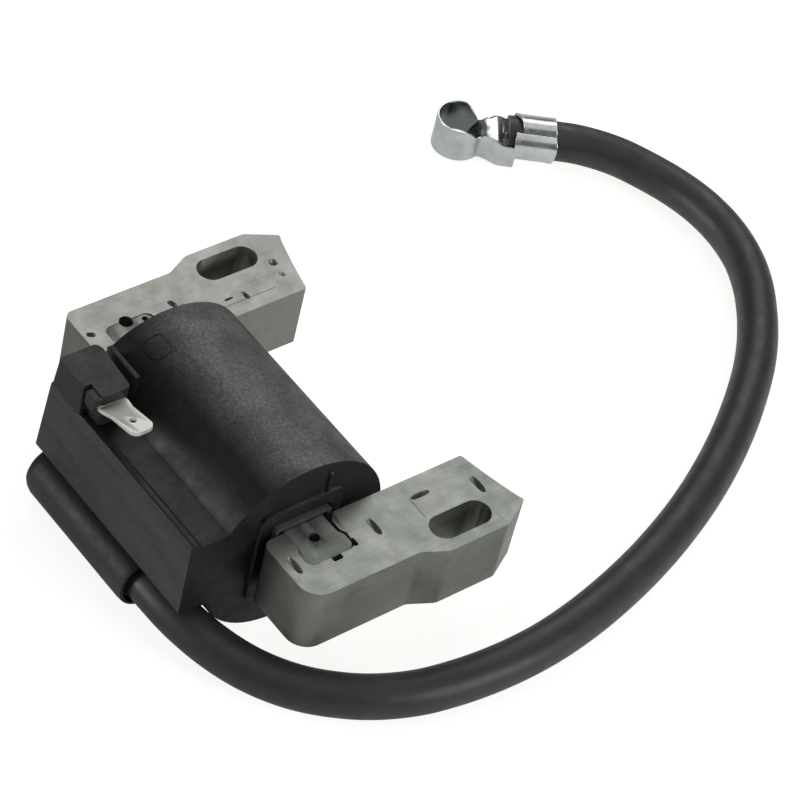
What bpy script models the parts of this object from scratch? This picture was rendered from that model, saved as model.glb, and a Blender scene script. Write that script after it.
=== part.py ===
"""Magneto ignition coil of a small engine, as an assembly of separate pieces.

Row frame, metres: +X along the coil's axis, from the far lamination leg to the
near one; +Y along the legs, towards the pole faces that sweep the flywheel;
+Z up.  The origin is the bottom centre of the box round everything except the
high-tension lead and its clip, so the round case stands on z = 0.

All lengths below are in millimetres; MM turns them into metres.
"""
import bpy
import bmesh
import math
from mathutils import Matrix, Vector

MM = 0.001
GAP = 0.3                      # clearance between neighbouring pieces

# ------------------------------------------------------- driving dimensions
SLOT_PITCH = 61.0              # distance between the two mounting slots
SLOT_Y = 16.45
SLOT_W = 4.8                   # across the slot (M4 / No. 10 screw)
SLOT_L = 11.0                  # along the slot, end to end

LEG_T = 12.0                   # lamination stack thickness
LEG_TOP = 22.3
LEG_INNER_X = 20.1             # face that looks at the coil
LEG_OUTER_X = 32.8
LEG_WIDE_X = 34.8              # outer face beside the slot
LEG_BACK_Y = -13.15
LEG_STEP_Y0 = 6.95
LEG_STEP_Y1 = 11.25
POLE_IN_Y = 24.65
POLE_TIP = (31.9, 27.94)
POLE_SHOULDER_Y = 22.55
FLYWHEEL_R = 103.0             # flywheel rim plus air gap

COIL_Y = -5.25                 # axis of the round case
COIL_R = 16.3
COIL_Z = COIL_R
COIL_X = 18.5                  # half length of the case
CASE_WALL = 1.7
BORE_R = COIL_R - CASE_WALL
END_WALL = 2.8

BOX_LEFT = -25.35              # module chamber moulded on the case's side
BOX_BOTTOM = 10.8
BOX_TOP = 25.4
LIP_TOP = 26.4
LIP_W = 1.1
BOX_WALL = 1.4

TOWER_Y = -22.7                # high-tension outlet, parallel to the coil
TOWER_Z = 6.25
TOWER_R = 4.95
TOWER_X0 = -19.3
TOWER_X1 = 7.8
TOWER_BORE_X = -9.4

LEAD_D = 7.0
LEAD_R = LEAD_D / 2
LEAD_X0 = -9.0                 # where the lead starts inside the outlet
LEAD_FLOOR_Z = LEAD_R          # the lead lies on the surface under the part
LEAD_END_Z = 4.75
# (length, turn in degrees) of each stretch of the lead seen from above
LEAD_RUN = [(18.0, 0.0), (28.83, 45.09), (19.91, 33.14), (28.38, 21.65),
            (67.8, 28.92), (22.0, 19.01), (47.02, 85.37), (11.0, 0.0)]
LEAD_POINTS = 76

CORE_W = 8.4                   # core bar, across
TUBE_W = 10.4                  # primary bobbin's square tube
TUBE_H = 14.0
TUBE_WALL = 0.7
TUBE_X = 19.8

SHEET = 0.45                   # clip sheet
TERM_T = 0.6                   # kill terminal sheet

CORE_Z = LEG_TOP - LEG_T / 2   # mid-height of the lamination stack


# ------------------------------------------------------------------- set-up
for ob in list(bpy.data.objects):
    bpy.data.objects.remove(ob, do_unlink=True)
for data in (bpy.data.meshes, bpy.data.curves, bpy.data.materials):
    for item in list(data):
        data.remove(item)

scene_root = bpy.context.scene.collection
PARTS = bpy.data.collections.new("ignition_coil")
CUTTERS = bpy.data.collections.new("cutters")
scene_root.children.link(PARTS)
scene_root.children.link(CUTTERS)


def material(name, colour, rough, metal):
    m = bpy.data.materials.new(name)
    m.use_nodes = True
    b = m.node_tree.nodes["Principled BSDF"]
    b.inputs["Base Color"].default_value = (*colour, 1.0)
    b.inputs["Roughness"].default_value = rough
    b.inputs["Metallic"].default_value = metal
    m.diffuse_color = (*colour, 1.0)
    return m


# ------------------------------------------------------------ 2-D outlines
def fillet(corners, seg=5):
    """Closed outline from (a, b, radius) corners, arcs at the corners."""
    out = []
    n = len(corners)
    for i in range(n):
        p0 = Vector(corners[i - 1][:2])
        p1 = Vector(corners[i][:2])
        p2 = Vector(corners[(i + 1) % n][:2])
        r = corners[i][2]
        u = (p0 - p1)
        w = (p2 - p1)
        if r <= 0:
            out.append((p1.x, p1.y))
            continue
        half = u.angle(w) / 2
        t = min(r / math.tan(half), 0.49 * u.length, 0.49 * w.length)
        r = t * math.tan(half)
        u.normalize()
        w.normalize()
        a = p1 + u * t
        b = p1 + w * t
        bis = (u + w).normalized()
        c = p1 + bis * (r / math.sin(half))
        a0 = math.atan2(a.y - c.y, a.x - c.x)
        a1 = math.atan2(b.y - c.y, b.x - c.x)
        d = (a1 - a0 + math.pi) % (2 * math.pi) - math.pi
        for k in range(seg + 1):
            ang = a0 + d * k / seg
            out.append((c.x + r * math.cos(ang), c.y + r * math.sin(ang)))
    return out


def round_rect(ca, cb, wa, wb, r, seg=4):
    return fillet([(ca - wa / 2, cb - wb / 2, r), (ca + wa / 2, cb - wb / 2, r),
                   (ca + wa / 2, cb + wb / 2, r), (ca - wa / 2, cb + wb / 2, r)], seg)


def circle(ca, cb, r, n=32):
    return [(ca + r * math.cos(2 * math.pi * k / n), cb + r * math.sin(2 * math.pi * k / n))
            for k in range(n)]


def arc_pts(ca, cb, r, a0, a1, n):
    return [(ca + r * math.cos(a0 + (a1 - a0) * k / n), cb + r * math.sin(a0 + (a1 - a0) * k / n))
            for k in range(n + 1)]


# ------------------------------------------------------------ solid makers
def add(name, mesh, coll, mat):
    ob = bpy.data.objects.new(name, mesh)
    coll.objects.link(ob)
    if mat is not None:
        mesh.materials.clear()
        mesh.materials.append(mat)
    else:
        ob.hide_render = True
        ob.display_type = 'WIRE'
    return ob


def clean(mesh, dist=0.00002):
    bm = bmesh.new()
    bm.from_mesh(mesh)
    bmesh.ops.remove_doubles(bm, verts=bm.verts, dist=dist)
    bmesh.ops.recalc_face_normals(bm, faces=bm.faces)
    bm.to_mesh(mesh)
    bm.free()
    return mesh


def taken(ob, name):
    """Mesh of an evaluated curve or modified object; the source goes away."""
    dg = bpy.context.evaluated_depsgraph_get()
    dg.update()
    me = bpy.data.meshes.new_from_object(ob.evaluated_get(dg))
    me.transform(ob.matrix_world)
    me.name = name
    data = ob.data
    bpy.data.objects.remove(ob, do_unlink=True)
    if isinstance(data, bpy.types.Curve):
        bpy.data.curves.remove(data)
    return clean(me)


AXES = {"Z": Matrix.Identity(4),
        # outline (a, b) becomes (y, z) and the thickness runs along x
        "X": Matrix(((0, 0, 1, 0), (1, 0, 0, 0), (0, 1, 0, 0), (0, 0, 0, 1))),
        # outline (a, b) becomes (x, z) and the thickness runs along -y
        "Y": Matrix(((1, 0, 0, 0), (0, 0, -1, 0), (0, 1, 0, 0), (0, 0, 0, 1)))}


def slab_mesh(name, outlines, lo, hi, axis="Z"):
    """Filled outline with holes, extruded from lo to hi along an axis."""
    cu = bpy.data.curves.new(name, 'CURVE')
    cu.dimensions = '2D'
    cu.fill_mode = 'BOTH'
    cu.extrude = abs(hi - lo) / 2 * MM
    cu.resolution_u = 1
    cu.render_resolution_u = 0
    for pts in outlines:
        sp = cu.splines.new('POLY')
        sp.points.add(len(pts) - 1)
        for p, (a, b) in zip(sp.points, pts):
            p.co = (a * MM, b * MM, 0, 1)
        sp.use_cyclic_u = True
    ob = bpy.data.objects.new(name + "_outline", cu)
    CUTTERS.objects.link(ob)
    mid = (lo + hi) / 2 * MM
    shift = Matrix.Translation((0, 0, mid if axis != "Y" else -mid))
    ob.matrix_world = AXES[axis] @ shift
    bpy.context.view_layer.update()
    return taken(ob, name)


def slab(name, outlines, lo, hi, mat, axis="Z"):
    return add(name, slab_mesh(name, outlines, lo, hi, axis), PARTS, mat)


def cut_slab(name, outlines, lo, hi, axis="Z"):
    return add(name, slab_mesh(name, outlines, lo, hi, axis), CUTTERS, None)


def box_mesh(name, x0, x1, y0, y1, z0, z1):
    bm = bmesh.new()
    bmesh.ops.create_cube(bm, size=1.0)
    bmesh.ops.scale(bm, vec=((x1 - x0) * MM, (y1 - y0) * MM, (z1 - z0) * MM), verts=bm.verts)
    bmesh.ops.translate(bm, vec=((x0 + x1) / 2 * MM, (y0 + y1) / 2 * MM, (z0 + z1) / 2 * MM),
                        verts=bm.verts)
    me = bpy.data.meshes.new(name)
    bm.to_mesh(me)
    bm.free()
    return me


def box(name, x0, x1, y0, y1, z0, z1, mat=None):
    return add(name, box_mesh(name, x0, x1, y0, y1, z0, z1), PARTS if mat else CUTTERS, mat)


def rod_mesh(name, p0, p1, r, n=24, r2=None):
    """Straight round rod between two points in millimetres."""
    a = Vector(p0) * MM
    b = Vector(p1) * MM
    bm = bmesh.new()
    bmesh.ops.create_cone(bm, cap_ends=True, segments=n, radius1=r * MM,
                          radius2=(r if r2 is None else r2) * MM, depth=(b - a).length)
    q = (b - a).to_track_quat('Z', 'Y').to_matrix().to_4x4()
    bmesh.ops.transform(bm, matrix=Matrix.Translation((a + b) / 2) @ q, verts=bm.verts)
    me = bpy.data.meshes.new(name)
    bm.to_mesh(me)
    bm.free()
    return me


def rod(name, p0, p1, r, mat=None, n=24, r2=None):
    return add(name, rod_mesh(name, p0, p1, r, n, r2), PARTS if mat else CUTTERS, mat)


def lathe_mesh(name, profile, y, z, steps=40):
    """Closed profile (radius, x) turned about a line along X through y, z.

    The profile starts and ends on the axis, or closes on itself when it
    stays clear of the axis."""
    closed = min(p[0] for p in profile) > 0
    me = bpy.data.meshes.new(name)
    bm = bmesh.new()
    vs = [bm.verts.new((r * MM, 0, x * MM)) for r, x in profile]
    for a, b in zip(vs, vs[1:]):
        bm.edges.new((a, b))
    if closed:
        bm.edges.new((vs[-1], vs[0]))
    bm.to_mesh(me)
    bm.free()
    ob = bpy.data.objects.new(name, me)
    CUTTERS.objects.link(ob)
    sc = ob.modifiers.new("turn", 'SCREW')
    sc.axis = 'Z'
    sc.steps = sc.render_steps = steps
    sc.use_merge_vertices = True
    sc.merge_threshold = 0.00001
    ob.matrix_world = Matrix.Translation((0, y * MM, z * MM)) @ AXES["X"]
    bpy.context.view_layer.update()
    return taken(ob, name)


def lathe(name, profile, y, z, mat=None, steps=40):
    return add(name, lathe_mesh(name, profile, y, z, steps), PARTS if mat else CUTTERS, mat)


def join_meshes(name, meshes):
    """Separate closed shells kept side by side in one mesh, for cutters."""
    bm = bmesh.new()
    for m in meshes:
        bm.from_mesh(m)
    me = bpy.data.meshes.new(name)
    bm.to_mesh(me)
    bm.free()
    for m in meshes:
        bpy.data.meshes.remove(m)
    return me


def boolean(ob, tool, op='DIFFERENCE'):
    m = ob.modifiers.new(op.lower(), 'BOOLEAN')
    m.object = tool
    m.operation = op
    m.solver = 'EXACT'
    return m


def bevel(ob, width, seg=2, angle=35):
    m = ob.modifiers.new("edge", 'BEVEL')
    m.width = width * MM
    m.segments = seg
    m.limit_method = 'ANGLE'
    m.angle_limit = math.radians(angle)
    m.use_clamp_overlap = True
    return m


def smooth(ob, angle=30):
    ob.data.shade_smooth()
    ob.data.set_sharp_from_angle(angle=math.radians(angle))


def wire(name, pts, r, mat, bevres=2):
    """Round wire through points given in millimetres, closed at both ends."""
    cu = bpy.data.curves.new(name, 'CURVE')
    cu.dimensions = '3D'
    cu.bevel_depth = r * MM
    cu.bevel_resolution = bevres
    cu.use_fill_caps = True
    cu.resolution_u = 1
    cu.render_resolution_u = 0
    sp = cu.splines.new('POLY')
    sp.points.add(len(pts) - 1)
    for p, co in zip(sp.points, pts):
        p.co = (co[0] * MM, co[1] * MM, co[2] * MM, 1)
    ob = bpy.data.objects.new(name, cu)
    PARTS.objects.link(ob)
    cu.materials.append(mat)
    return ob


def bent(pts, r=0.8, seg=4):
    """Polyline with its inner corners rounded, in three dimensions."""
    out = [Vector(pts[0])]
    for i in range(1, len(pts) - 1):
        a, b, c = Vector(pts[i - 1]), Vector(pts[i]), Vector(pts[i + 1])
        u = (a - b)
        w = (c - b)
        t = min(r, 0.45 * u.length, 0.45 * w.length)
        p = b + u.normalized() * t
        q = b + w.normalized() * t
        for k in range(seg + 1):
            f = k / seg
            out.append(p * (1 - f) ** 2 + b * 2 * f * (1 - f) + q * f ** 2)
    out.append(Vector(pts[-1]))
    return [tuple(v) for v in out]


# ---------------------------------------------------------------- materials
M_STEEL_N = material("leg_near_steel", (0.46, 0.47, 0.45), 0.45, 0.9)
M_STEEL_F = material("leg_far_steel", (0.47, 0.48, 0.46), 0.45, 0.9)
M_BAR = material("core_bar_steel", (0.40, 0.42, 0.41), 0.5, 0.9)
M_CASE = material("case_nylon", (0.035, 0.035, 0.034), 0.55, 0.0)
M_POT = material("potting_resin", (0.02, 0.02, 0.02), 0.35, 0.0)
M_HOLD = material("holder_nylon", (0.045, 0.045, 0.043), 0.5, 0.0)
M_TAB = material("tab_tinned_brass", (0.66, 0.64, 0.58), 0.3, 1.0)
M_PBOB = material("primary_bobbin_nylon", (0.05, 0.05, 0.048), 0.5, 0.0)
M_PWIND = material("primary_enamel_wire", (0.55, 0.22, 0.08), 0.35, 0.8)
M_TAPE = material("insulation_tape", (0.70, 0.58, 0.30), 0.5, 0.0)
M_SBOB = material("secondary_bobbin_pbt", (0.72, 0.70, 0.62), 0.5, 0.0)
M_SWIND = material("secondary_enamel_wire", (0.62, 0.30, 0.12), 0.35, 0.8)
M_PCB = material("board_laminate", (0.05, 0.22, 0.10), 0.5, 0.0)
M_CHIP1 = material("switch_epoxy", (0.03, 0.03, 0.03), 0.45, 0.0)
M_CHIP2 = material("driver_epoxy", (0.04, 0.04, 0.045), 0.45, 0.0)
M_CAP = material("capacitor_film", (0.50, 0.12, 0.05), 0.4, 0.0)
M_RES = material("resistor_body", (0.55, 0.62, 0.66), 0.5, 0.0)
M_DIO = material("diode_body", (0.06, 0.06, 0.07), 0.35, 0.0)
M_W1 = material("primary_start_copper", (0.72, 0.36, 0.20), 0.35, 1.0)
M_W2 = material("primary_end_copper", (0.72, 0.38, 0.21), 0.35, 1.0)
M_W3 = material("ground_tinned_copper", (0.66, 0.64, 0.60), 0.35, 1.0)
M_W4 = material("ht_link_copper", (0.70, 0.37, 0.22), 0.35, 1.0)
M_W5 = material("kill_link_copper", (0.68, 0.36, 0.22), 0.35, 1.0)
M_CONT = material("contact_brass", (0.68, 0.52, 0.24), 0.35, 1.0)
M_SEAL = material("seal_rubber", (0.03, 0.03, 0.03), 0.7, 0.0)
M_LEAD = material("lead_rubber", (0.032, 0.032, 0.030), 0.6, 0.0)
M_STRAND = material("strand_tinned_copper", (0.62, 0.58, 0.52), 0.4, 1.0)
M_CLIP = material("clip_plated_steel", (0.62, 0.64, 0.64), 0.22, 1.0)


# ================================================== lamination legs and core
HEAD_END = 27.2                # end of the core bar's locking head
NECK = 3.6                     # half width of its neck


def tongue(side, grow=0.0):
    """Corners of the bar's locking head, from the leg's inner face outwards
    and back, on the +X side; grow widens it into the leg's pocket."""
    g = grow
    h = CORE_W / 2 + g
    return [(23.4 - g * 0.4, COIL_Y + NECK + g, 0.6),
            (24.4 - g * 0.4, COIL_Y + h, 0.6),
            (HEAD_END + g, COIL_Y + h, 1.3),
            (HEAD_END + g, COIL_Y - h, 1.3),
            (24.4 - g * 0.4, COIL_Y - h, 0.6),
            (23.4 - g * 0.4, COIL_Y - NECK - g, 0.6)]


def leg_outline(back_r=3.6):
    """Near leg from above: back end, stepped outer side, swept pole face,
    inner side with the pocket for the core bar's head."""
    cy = POLE_IN_Y + math.sqrt(FLYWHEEL_R ** 2 - LEG_INNER_X ** 2)
    pts = [(LEG_INNER_X, LEG_BACK_Y, 1.6), (LEG_OUTER_X, LEG_BACK_Y, back_r),
           (LEG_OUTER_X, LEG_STEP_Y0, 2.5), (LEG_WIDE_X, LEG_STEP_Y1, 2.5),
           (LEG_WIDE_X, POLE_SHOULDER_Y, 2.0), (POLE_TIP[0], POLE_TIP[1], 0.5)]
    n = 6
    for k in range(1, n):
        x = POLE_TIP[0] + (LEG_INNER_X - POLE_TIP[0]) * k / n
        y = cy - math.sqrt(FLYWHEEL_R ** 2 - x * x)
        pts.append((x, y, 0.0))
    pts.append((LEG_INNER_X, POLE_IN_Y, 0.4))
    pts.append((LEG_INNER_X, COIL_Y + 5.3, 0.2))
    pts.append((LEG_INNER_X + 1.3, COIL_Y + NECK + GAP, 0.3))
    pts += tongue(1, GAP)
    pts.append((LEG_INNER_X, COIL_Y - NECK - GAP, 0.0))
    return fillet(pts, 4)


def mirror_x(pts):
    return [(-a, b) for a, b in reversed(pts)]


def slot_outline(cx, w=SLOT_W, l=SLOT_L, n=8):
    r = w / 2
    s = l / 2 - r
    return (arc_pts(cx, SLOT_Y + s, r, 0, math.pi, n)
            + arc_pts(cx, SLOT_Y - s, r, math.pi, 2 * math.pi, n))


def vee_marks(name, spots, top):
    """Pressed interlock marks: short pockets whose floor slopes down from
    both ends to a line across the middle."""
    shells = []
    for x, y, l, w, deg, deep in spots:
        side = [(-l / 2, 0.5), (l / 2, 0.5), (l / 2, -0.08), (0.0, -deep), (-l / 2, -0.08)]
        m = slab_mesh(name, [side], -w / 2, w / 2, "Y")
        m.transform(Matrix.Translation((x * MM, y * MM, top * MM))
                    @ Matrix.Rotation(math.radians(deg), 4, 'Z'))
        shells.append(m)
    return add(name, join_meshes(name, shells), CUTTERS, None)


legs = {}
for tag, sx, mat in (("near", 1, M_STEEL_N), ("far", -1, M_STEEL_F)):
    outer = leg_outline(3.6 if sx > 0 else 1.4)
    hole = slot_outline(SLOT_PITCH / 2)
    if sx < 0:
        outer, hole = mirror_x(outer), mirror_x(hole)
    leg = slab("leg_" + tag, [outer, hole], LEG_TOP - LEG_T, LEG_TOP, mat)
    bevel(leg, 0.35, 1, 60)
    legs[tag] = leg

# pressed marks beside the joint and the pole, at their places on each leg
boolean(legs["near"], vee_marks("marks_near", [
    (25.9, -11.35, 3.6, 1.2, 0, 1.0), (25.4, 3.85, 3.6, 1.2, 0, 1.0),
    (23.6, 13.95, 3.6, 1.0, 90, 1.0), (26.1, 23.3, 3.6, 1.2, 0, 1.0)], LEG_TOP))
boolean(legs["far"], vee_marks("marks_far", [
    (-27.0, -11.6, 2.4, 1.1, 0, 0.8), (-26.9, 3.35, 2.4, 1.2, 0, 0.8),
    (-23.8, 12.0, 1.7, 0.6, 90, 0.6), (-23.3, 14.9, 2.0, 1.0, 0, 0.8),
    (-26.1, 23.0, 3.8, 1.3, 0, 1.0)], LEG_TOP))

# small relief slots where the joint meets the near leg, left open by the die
for tag, cx, cy, wx, wy in (("slot_a", 27.7, -4.75, 1.0, 1.8), ("slot_b", 26.4, -0.75, 1.6, 0.9)):
    boolean(legs["near"], add(tag, slab_mesh(tag, [round_rect(cx, cy, wx, wy, 0.3, 3)],
                                             LEG_TOP - LEG_T - 1, LEG_TOP + 1), CUTTERS, None))
# rivet hole on the joint of the far leg
FAR_HOLE = (-27.03, -5.33, 1.15)
boolean(legs["far"], add("far_hole", slab_mesh("far_hole", [circle(*FAR_HOLE, 20)],
                                               LEG_TOP - LEG_T - 1, LEG_TOP + 1), CUTTERS, None))

bar_out = []
right = [(LEG_INNER_X, COIL_Y + NECK, 0.3)] + tongue(1) + [(LEG_INNER_X, COIL_Y - NECK, 0.3)]
bar_half = [(TUBE_X - 0.9, COIL_Y + CORE_W / 2, 0.3)] + right + [(TUBE_X - 0.9, COIL_Y - CORE_W / 2, 0.3)]
bar_corners = bar_half + [(-a, b, r) for a, b, r in reversed(bar_half)]
# the rivet hole bites into the end of the far head
bite = math.acos((-HEAD_END - FAR_HOLE[0]) / FAR_HOLE[2])
k_end = next(i for i, c in enumerate(bar_corners) if abs(c[0] + HEAD_END) < 1e-6)
bar_corners[k_end + 1:k_end + 1] = [(a, b, 0.0) for a, b in
                                    arc_pts(FAR_HOLE[0], FAR_HOLE[1], FAR_HOLE[2], -bite, bite, 12)]
core = slab("core_bar", [fillet(bar_corners, 3), circle(22.8, COIL_Y - 0.2, 0.9, 14),
                         circle(-26.25, -2.3, 0.5, 12)],
            LEG_TOP - LEG_T + 0.1, LEG_TOP - 0.06, M_BAR)


# ============================================================== case section
def case_outline(r, left, bottom, top, corner, lip=None, n=40, dy=0.0):
    """Round case with the module chamber on its -Y side, seen along X."""
    za, zb = top - COIL_Z, bottom - COIL_Z
    a_top = math.pi - math.asin(za / r)          # where the flat top meets the round
    a_bot = math.pi - math.asin(zb / r)          # where the flat bottom meets it
    start, end = a_top, a_bot - 2 * math.pi      # clockwise through top and +Y side
    pts = [(COIL_Y + dy + r * math.cos(start + (end - start) * k / n),
            COIL_Z + r * math.sin(start + (end - start) * k / n), 0.0) for k in range(n + 1)]
    pts.append((left, bottom, corner))
    if lip:
        pts.append((left, lip[0], 0.4))
        pts.append((left + lip[1], lip[0], 0.3))
        pts.append((left + lip[1] + 0.9, top, 0.3))
    else:
        pts.append((left, top, corner))
    return fillet(pts, 3)


outer = case_outline(COIL_R, BOX_LEFT, BOX_BOTTOM, BOX_TOP, 1.0, (LIP_TOP, LIP_W), 40, 0.25)
case = slab("coil_case", [outer], -COIL_X, COIL_X, M_CASE, "X")
END_ROUND = 5.0                # largest end rounding, under the near end
# end rounding of the near end at angles round the case, 0 at +Y
ROUNDING = ((0, 3.0), (30, 3.0), (50, 2.4), (84, 0.8), (198, 0.8), (220, 5.0), (285, 5.0), (330, 3.0), (360, 3.0))


def end_round(ang):
    deg = math.degrees(ang) % 360
    for (d0, r0), (d1, r1) in zip(ROUNDING, ROUNDING[1:]):
        if d0 <= deg <= d1:
            return r0 + (r1 - r0) * (deg - d0) / (d1 - d0)
    return 0.8


bm = bmesh.new()
bm.from_mesh(case.data)
for sgn in (-1, 1):            # one face over each end, so the rounding can run inwards
    bmesh.ops.dissolve_faces(bm, faces=[f for f in bm.faces if f.normal.x * sgn > 0.9])
bm.to_mesh(case.data)
bm.free()
wts = case.data.attributes.new("bevel_weight_edge", 'FLOAT', 'EDGE')
for e in case.data.edges:
    va, vb = (case.data.vertices[i].co / MM for i in e.vertices)
    w = 0.0
    if abs(va.x - vb.x) < 0.01:
        m = (va + vb) / 2
        if va.x < 0:
            w = (0.3 if m.y < -19.0 else 0.88) / END_ROUND
        else:
            w = end_round(math.atan2(m.z - COIL_Z, m.y - COIL_Y)) / END_ROUND
    wts.data[e.index].value = w
# the chamber's far end leans outwards towards its bottom
LEAN = 0.09
for v in case.data.vertices:
    if v.co.x < 0:
        side_share = min(1.0, max(0.0, (-16.0 - v.co.y / MM) / 9.35))
        v.co.x -= LEAN * max(0.0, LIP_TOP * MM - v.co.z) * side_share
bv = bevel(case, END_ROUND, 4)
bv.limit_method = 'WEIGHT'

# outlet for the high-tension lead: closed round back end, stepped-down mouth
tower = lathe("tower_body", [(0, TOWER_X0), (3.0, TOWER_X0), (4.4, TOWER_X0 + 0.6),
                             (TOWER_R, TOWER_X0 + 2.2), (TOWER_R, TOWER_X1 - 1.5),
                             (TOWER_R - 0.1, TOWER_X1 - 0.5), (TOWER_R - 0.3, TOWER_X1),
                             (0, TOWER_X1)], TOWER_Y, TOWER_Z, None, 36)
boolean(case, tower, 'UNION')
# web that carries the outlet under the chamber
web = box("tower_web", TOWER_X0 + 2.4, TOWER_X1 - 4.8, BOX_LEFT + 1.2, TOWER_Y + 5.0,
          TOWER_Z + 1.0, BOX_BOTTOM + 0.6)
boolean(case, web, 'UNION')

# guard rib between the terminal holder and the round case
rib = box("guard_rib", -17.2, -9.7, -16.95, -15.85, BOX_TOP - 0.6, 31.3)
boolean(case, rib, 'UNION')

# raised frame round the bobbin's tube on the closed end
frame_pad = slab_mesh("end_frame", [round_rect(COIL_Y, CORE_Z + 0.3, 15.0, 18.6, 1.2, 3)],
                      COIL_X - 0.5, COIL_X + 0.55, "X")
frame_pad = add("end_frame", frame_pad, CUTTERS, None)
boolean(case, frame_pad, 'UNION')
# short upright rib above the frame
boolean(case, box("end_rib", COIL_X - 0.5, COIL_X + 0.45, -1.0, -0.35, 25.2, 30.0), 'UNION')

# hollow, open at the far end
cavity = cut_slab("case_hollow", [case_outline(BORE_R, BOX_LEFT + BOX_WALL, BOX_BOTTOM + BOX_WALL,
                                               BOX_TOP - BOX_WALL, 0.6)],
                  -COIL_X - 2.0, COIL_X - END_WALL, "X")
boolean(case, cavity)
window = cut_slab("bobbin_window", [round_rect(COIL_Y, CORE_Z, TUBE_W + 2 * GAP, TUBE_H + 2 * GAP, 0.9, 3)],
                  COIL_X - 4.0, COIL_X + 3.0, "X")
boolean(case, window)

# lead socket, seal seat and contact socket in the outlet
SEAL_R = 4.1
lead_hole = lathe("lead_socket", [(0, -14.6), (1.25, -14.6), (1.25, TOWER_BORE_X - 0.4),
                                  (LEAD_R + GAP, TOWER_BORE_X - 0.4), (LEAD_R + GAP, 3.6),
                                  (SEAL_R + 0.2, 3.6), (SEAL_R + 0.2, TOWER_X1 + 2),
                                  (0, TOWER_X1 + 2)], TOWER_Y, TOWER_Z, None, 32)
boolean(case, lead_hole)

# passage for the wire from the secondary winding to the contact
LINK_X = -11.9
dirv = Vector((0, TOWER_Y - COIL_Y, TOWER_Z - COIL_Z))
axes_gap = dirv.length
dirv.normalize()


def along(rad, x=LINK_X):
    return (x, COIL_Y + dirv.y * rad, COIL_Z + dirv.z * rad)


link_hole = rod("link_passage", along(BORE_R - 1.2), along(axes_gap - 0.3), 0.75, None, 16)
boolean(case, link_hole)

# passage for the kill terminal's tail through the chamber's top
TAIL_X, TAIL_Y = -15.0, -22.3
TAIL_C = TAIL_Y + 0.85         # the tail stands clear of the board
tail_hole = box("tail_passage", TAIL_X - 0.9, TAIL_X + 0.9, TAIL_C - 1.2, TAIL_C + 1.2,
                BOX_TOP - BOX_WALL - 1.0, BOX_TOP + 1.5)
boolean(case, tail_hole)
smooth(case, 32)

# resin face that closes the open end round the bobbin's tube
resin = slab("potting_resin_face",
             [case_outline(BORE_R - GAP, BOX_LEFT + BOX_WALL + GAP, BOX_BOTTOM + BOX_WALL + GAP,
                           BOX_TOP - BOX_WALL - GAP, 0.5),
              round_rect(COIL_Y, CORE_Z, TUBE_W + 2 * GAP, TUBE_H + 2 * GAP, 0.9, 3),
              circle(-15.2, 20.4, 0.8, 12)],
             -17.9, -16.5, M_POT, "X")

# ================================================ terminal holder and tab
HOLD_X0, HOLD_X1 = -17.45, -7.7
HOLD_Y0, HOLD_Y1 = -25.5, -18.5
HOLD_Z0, HOLD_Z1 = LIP_TOP + GAP, 32.6
TAB_TOP = 30.6                 # upper face of the tab where it leaves the holder
holder = slab("terminal_holder",
              [fillet([(HOLD_X0, HOLD_Y0, 0.4), (-10.9, HOLD_Y0, 0.15), (-10.9, HOLD_Y0 + 1.3, 0.15),
                       (HOLD_X1, HOLD_Y0 + 1.3, 0.6), (HOLD_X1, HOLD_Y1 - 0.7, 0.8),
                       (HOLD_X0 + 1.2, HOLD_Y1, 0.5), (HOLD_X0, HOLD_Y1 - 0.5, 0.9)], 3)],
              HOLD_Z0, HOLD_Z1, M_HOLD)
for v in holder.data.vertices:     # its far face leans with the chamber's
    if v.co.x < -16.0 * MM:
        v.co.x -= 0.13 * (HOLD_Z1 * MM - v.co.z)
bevel(holder, 0.3, 2, 50)
foot = box("holder_foot", -16.9, -8.2, HOLD_Y0 + 2.4, HOLD_Y1 - 0.9, BOX_TOP + GAP, HOLD_Z0 + 0.6)
boolean(holder, foot, 'UNION')
# finger beside the notch in the holder's left side, rounded at its foot
finger = slab_mesh("holder_finger", [fillet([(-10.35, 29.4, 0.9), (-7.9, 29.4, 1.1),
                                             (-7.9, 32.3, 0.3), (-10.35, 32.3, 0.3)], 3)],
                   HOLD_Y0 + 0.15, HOLD_Y0 + 1.6, "Y")
finger = add("holder_finger", finger, CUTTERS, None)
boolean(holder, finger, 'UNION')
tab_slot = box("tab_slot", -16.4, HOLD_X1 + 1.0, TAIL_Y - 2.75, TAIL_Y + 2.75,
               TAB_TOP - TERM_T - GAP, TAB_TOP + GAP)
boolean(holder, tab_slot)
tail_slot = box("tail_slot", TAIL_X - 0.8, TAIL_X + 0.8, TAIL_C - 1.15, TAIL_C + 1.15,
                BOX_TOP - 2.0, TAB_TOP - 0.2)
boolean(holder, tail_slot)
smooth(holder, 40)

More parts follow.
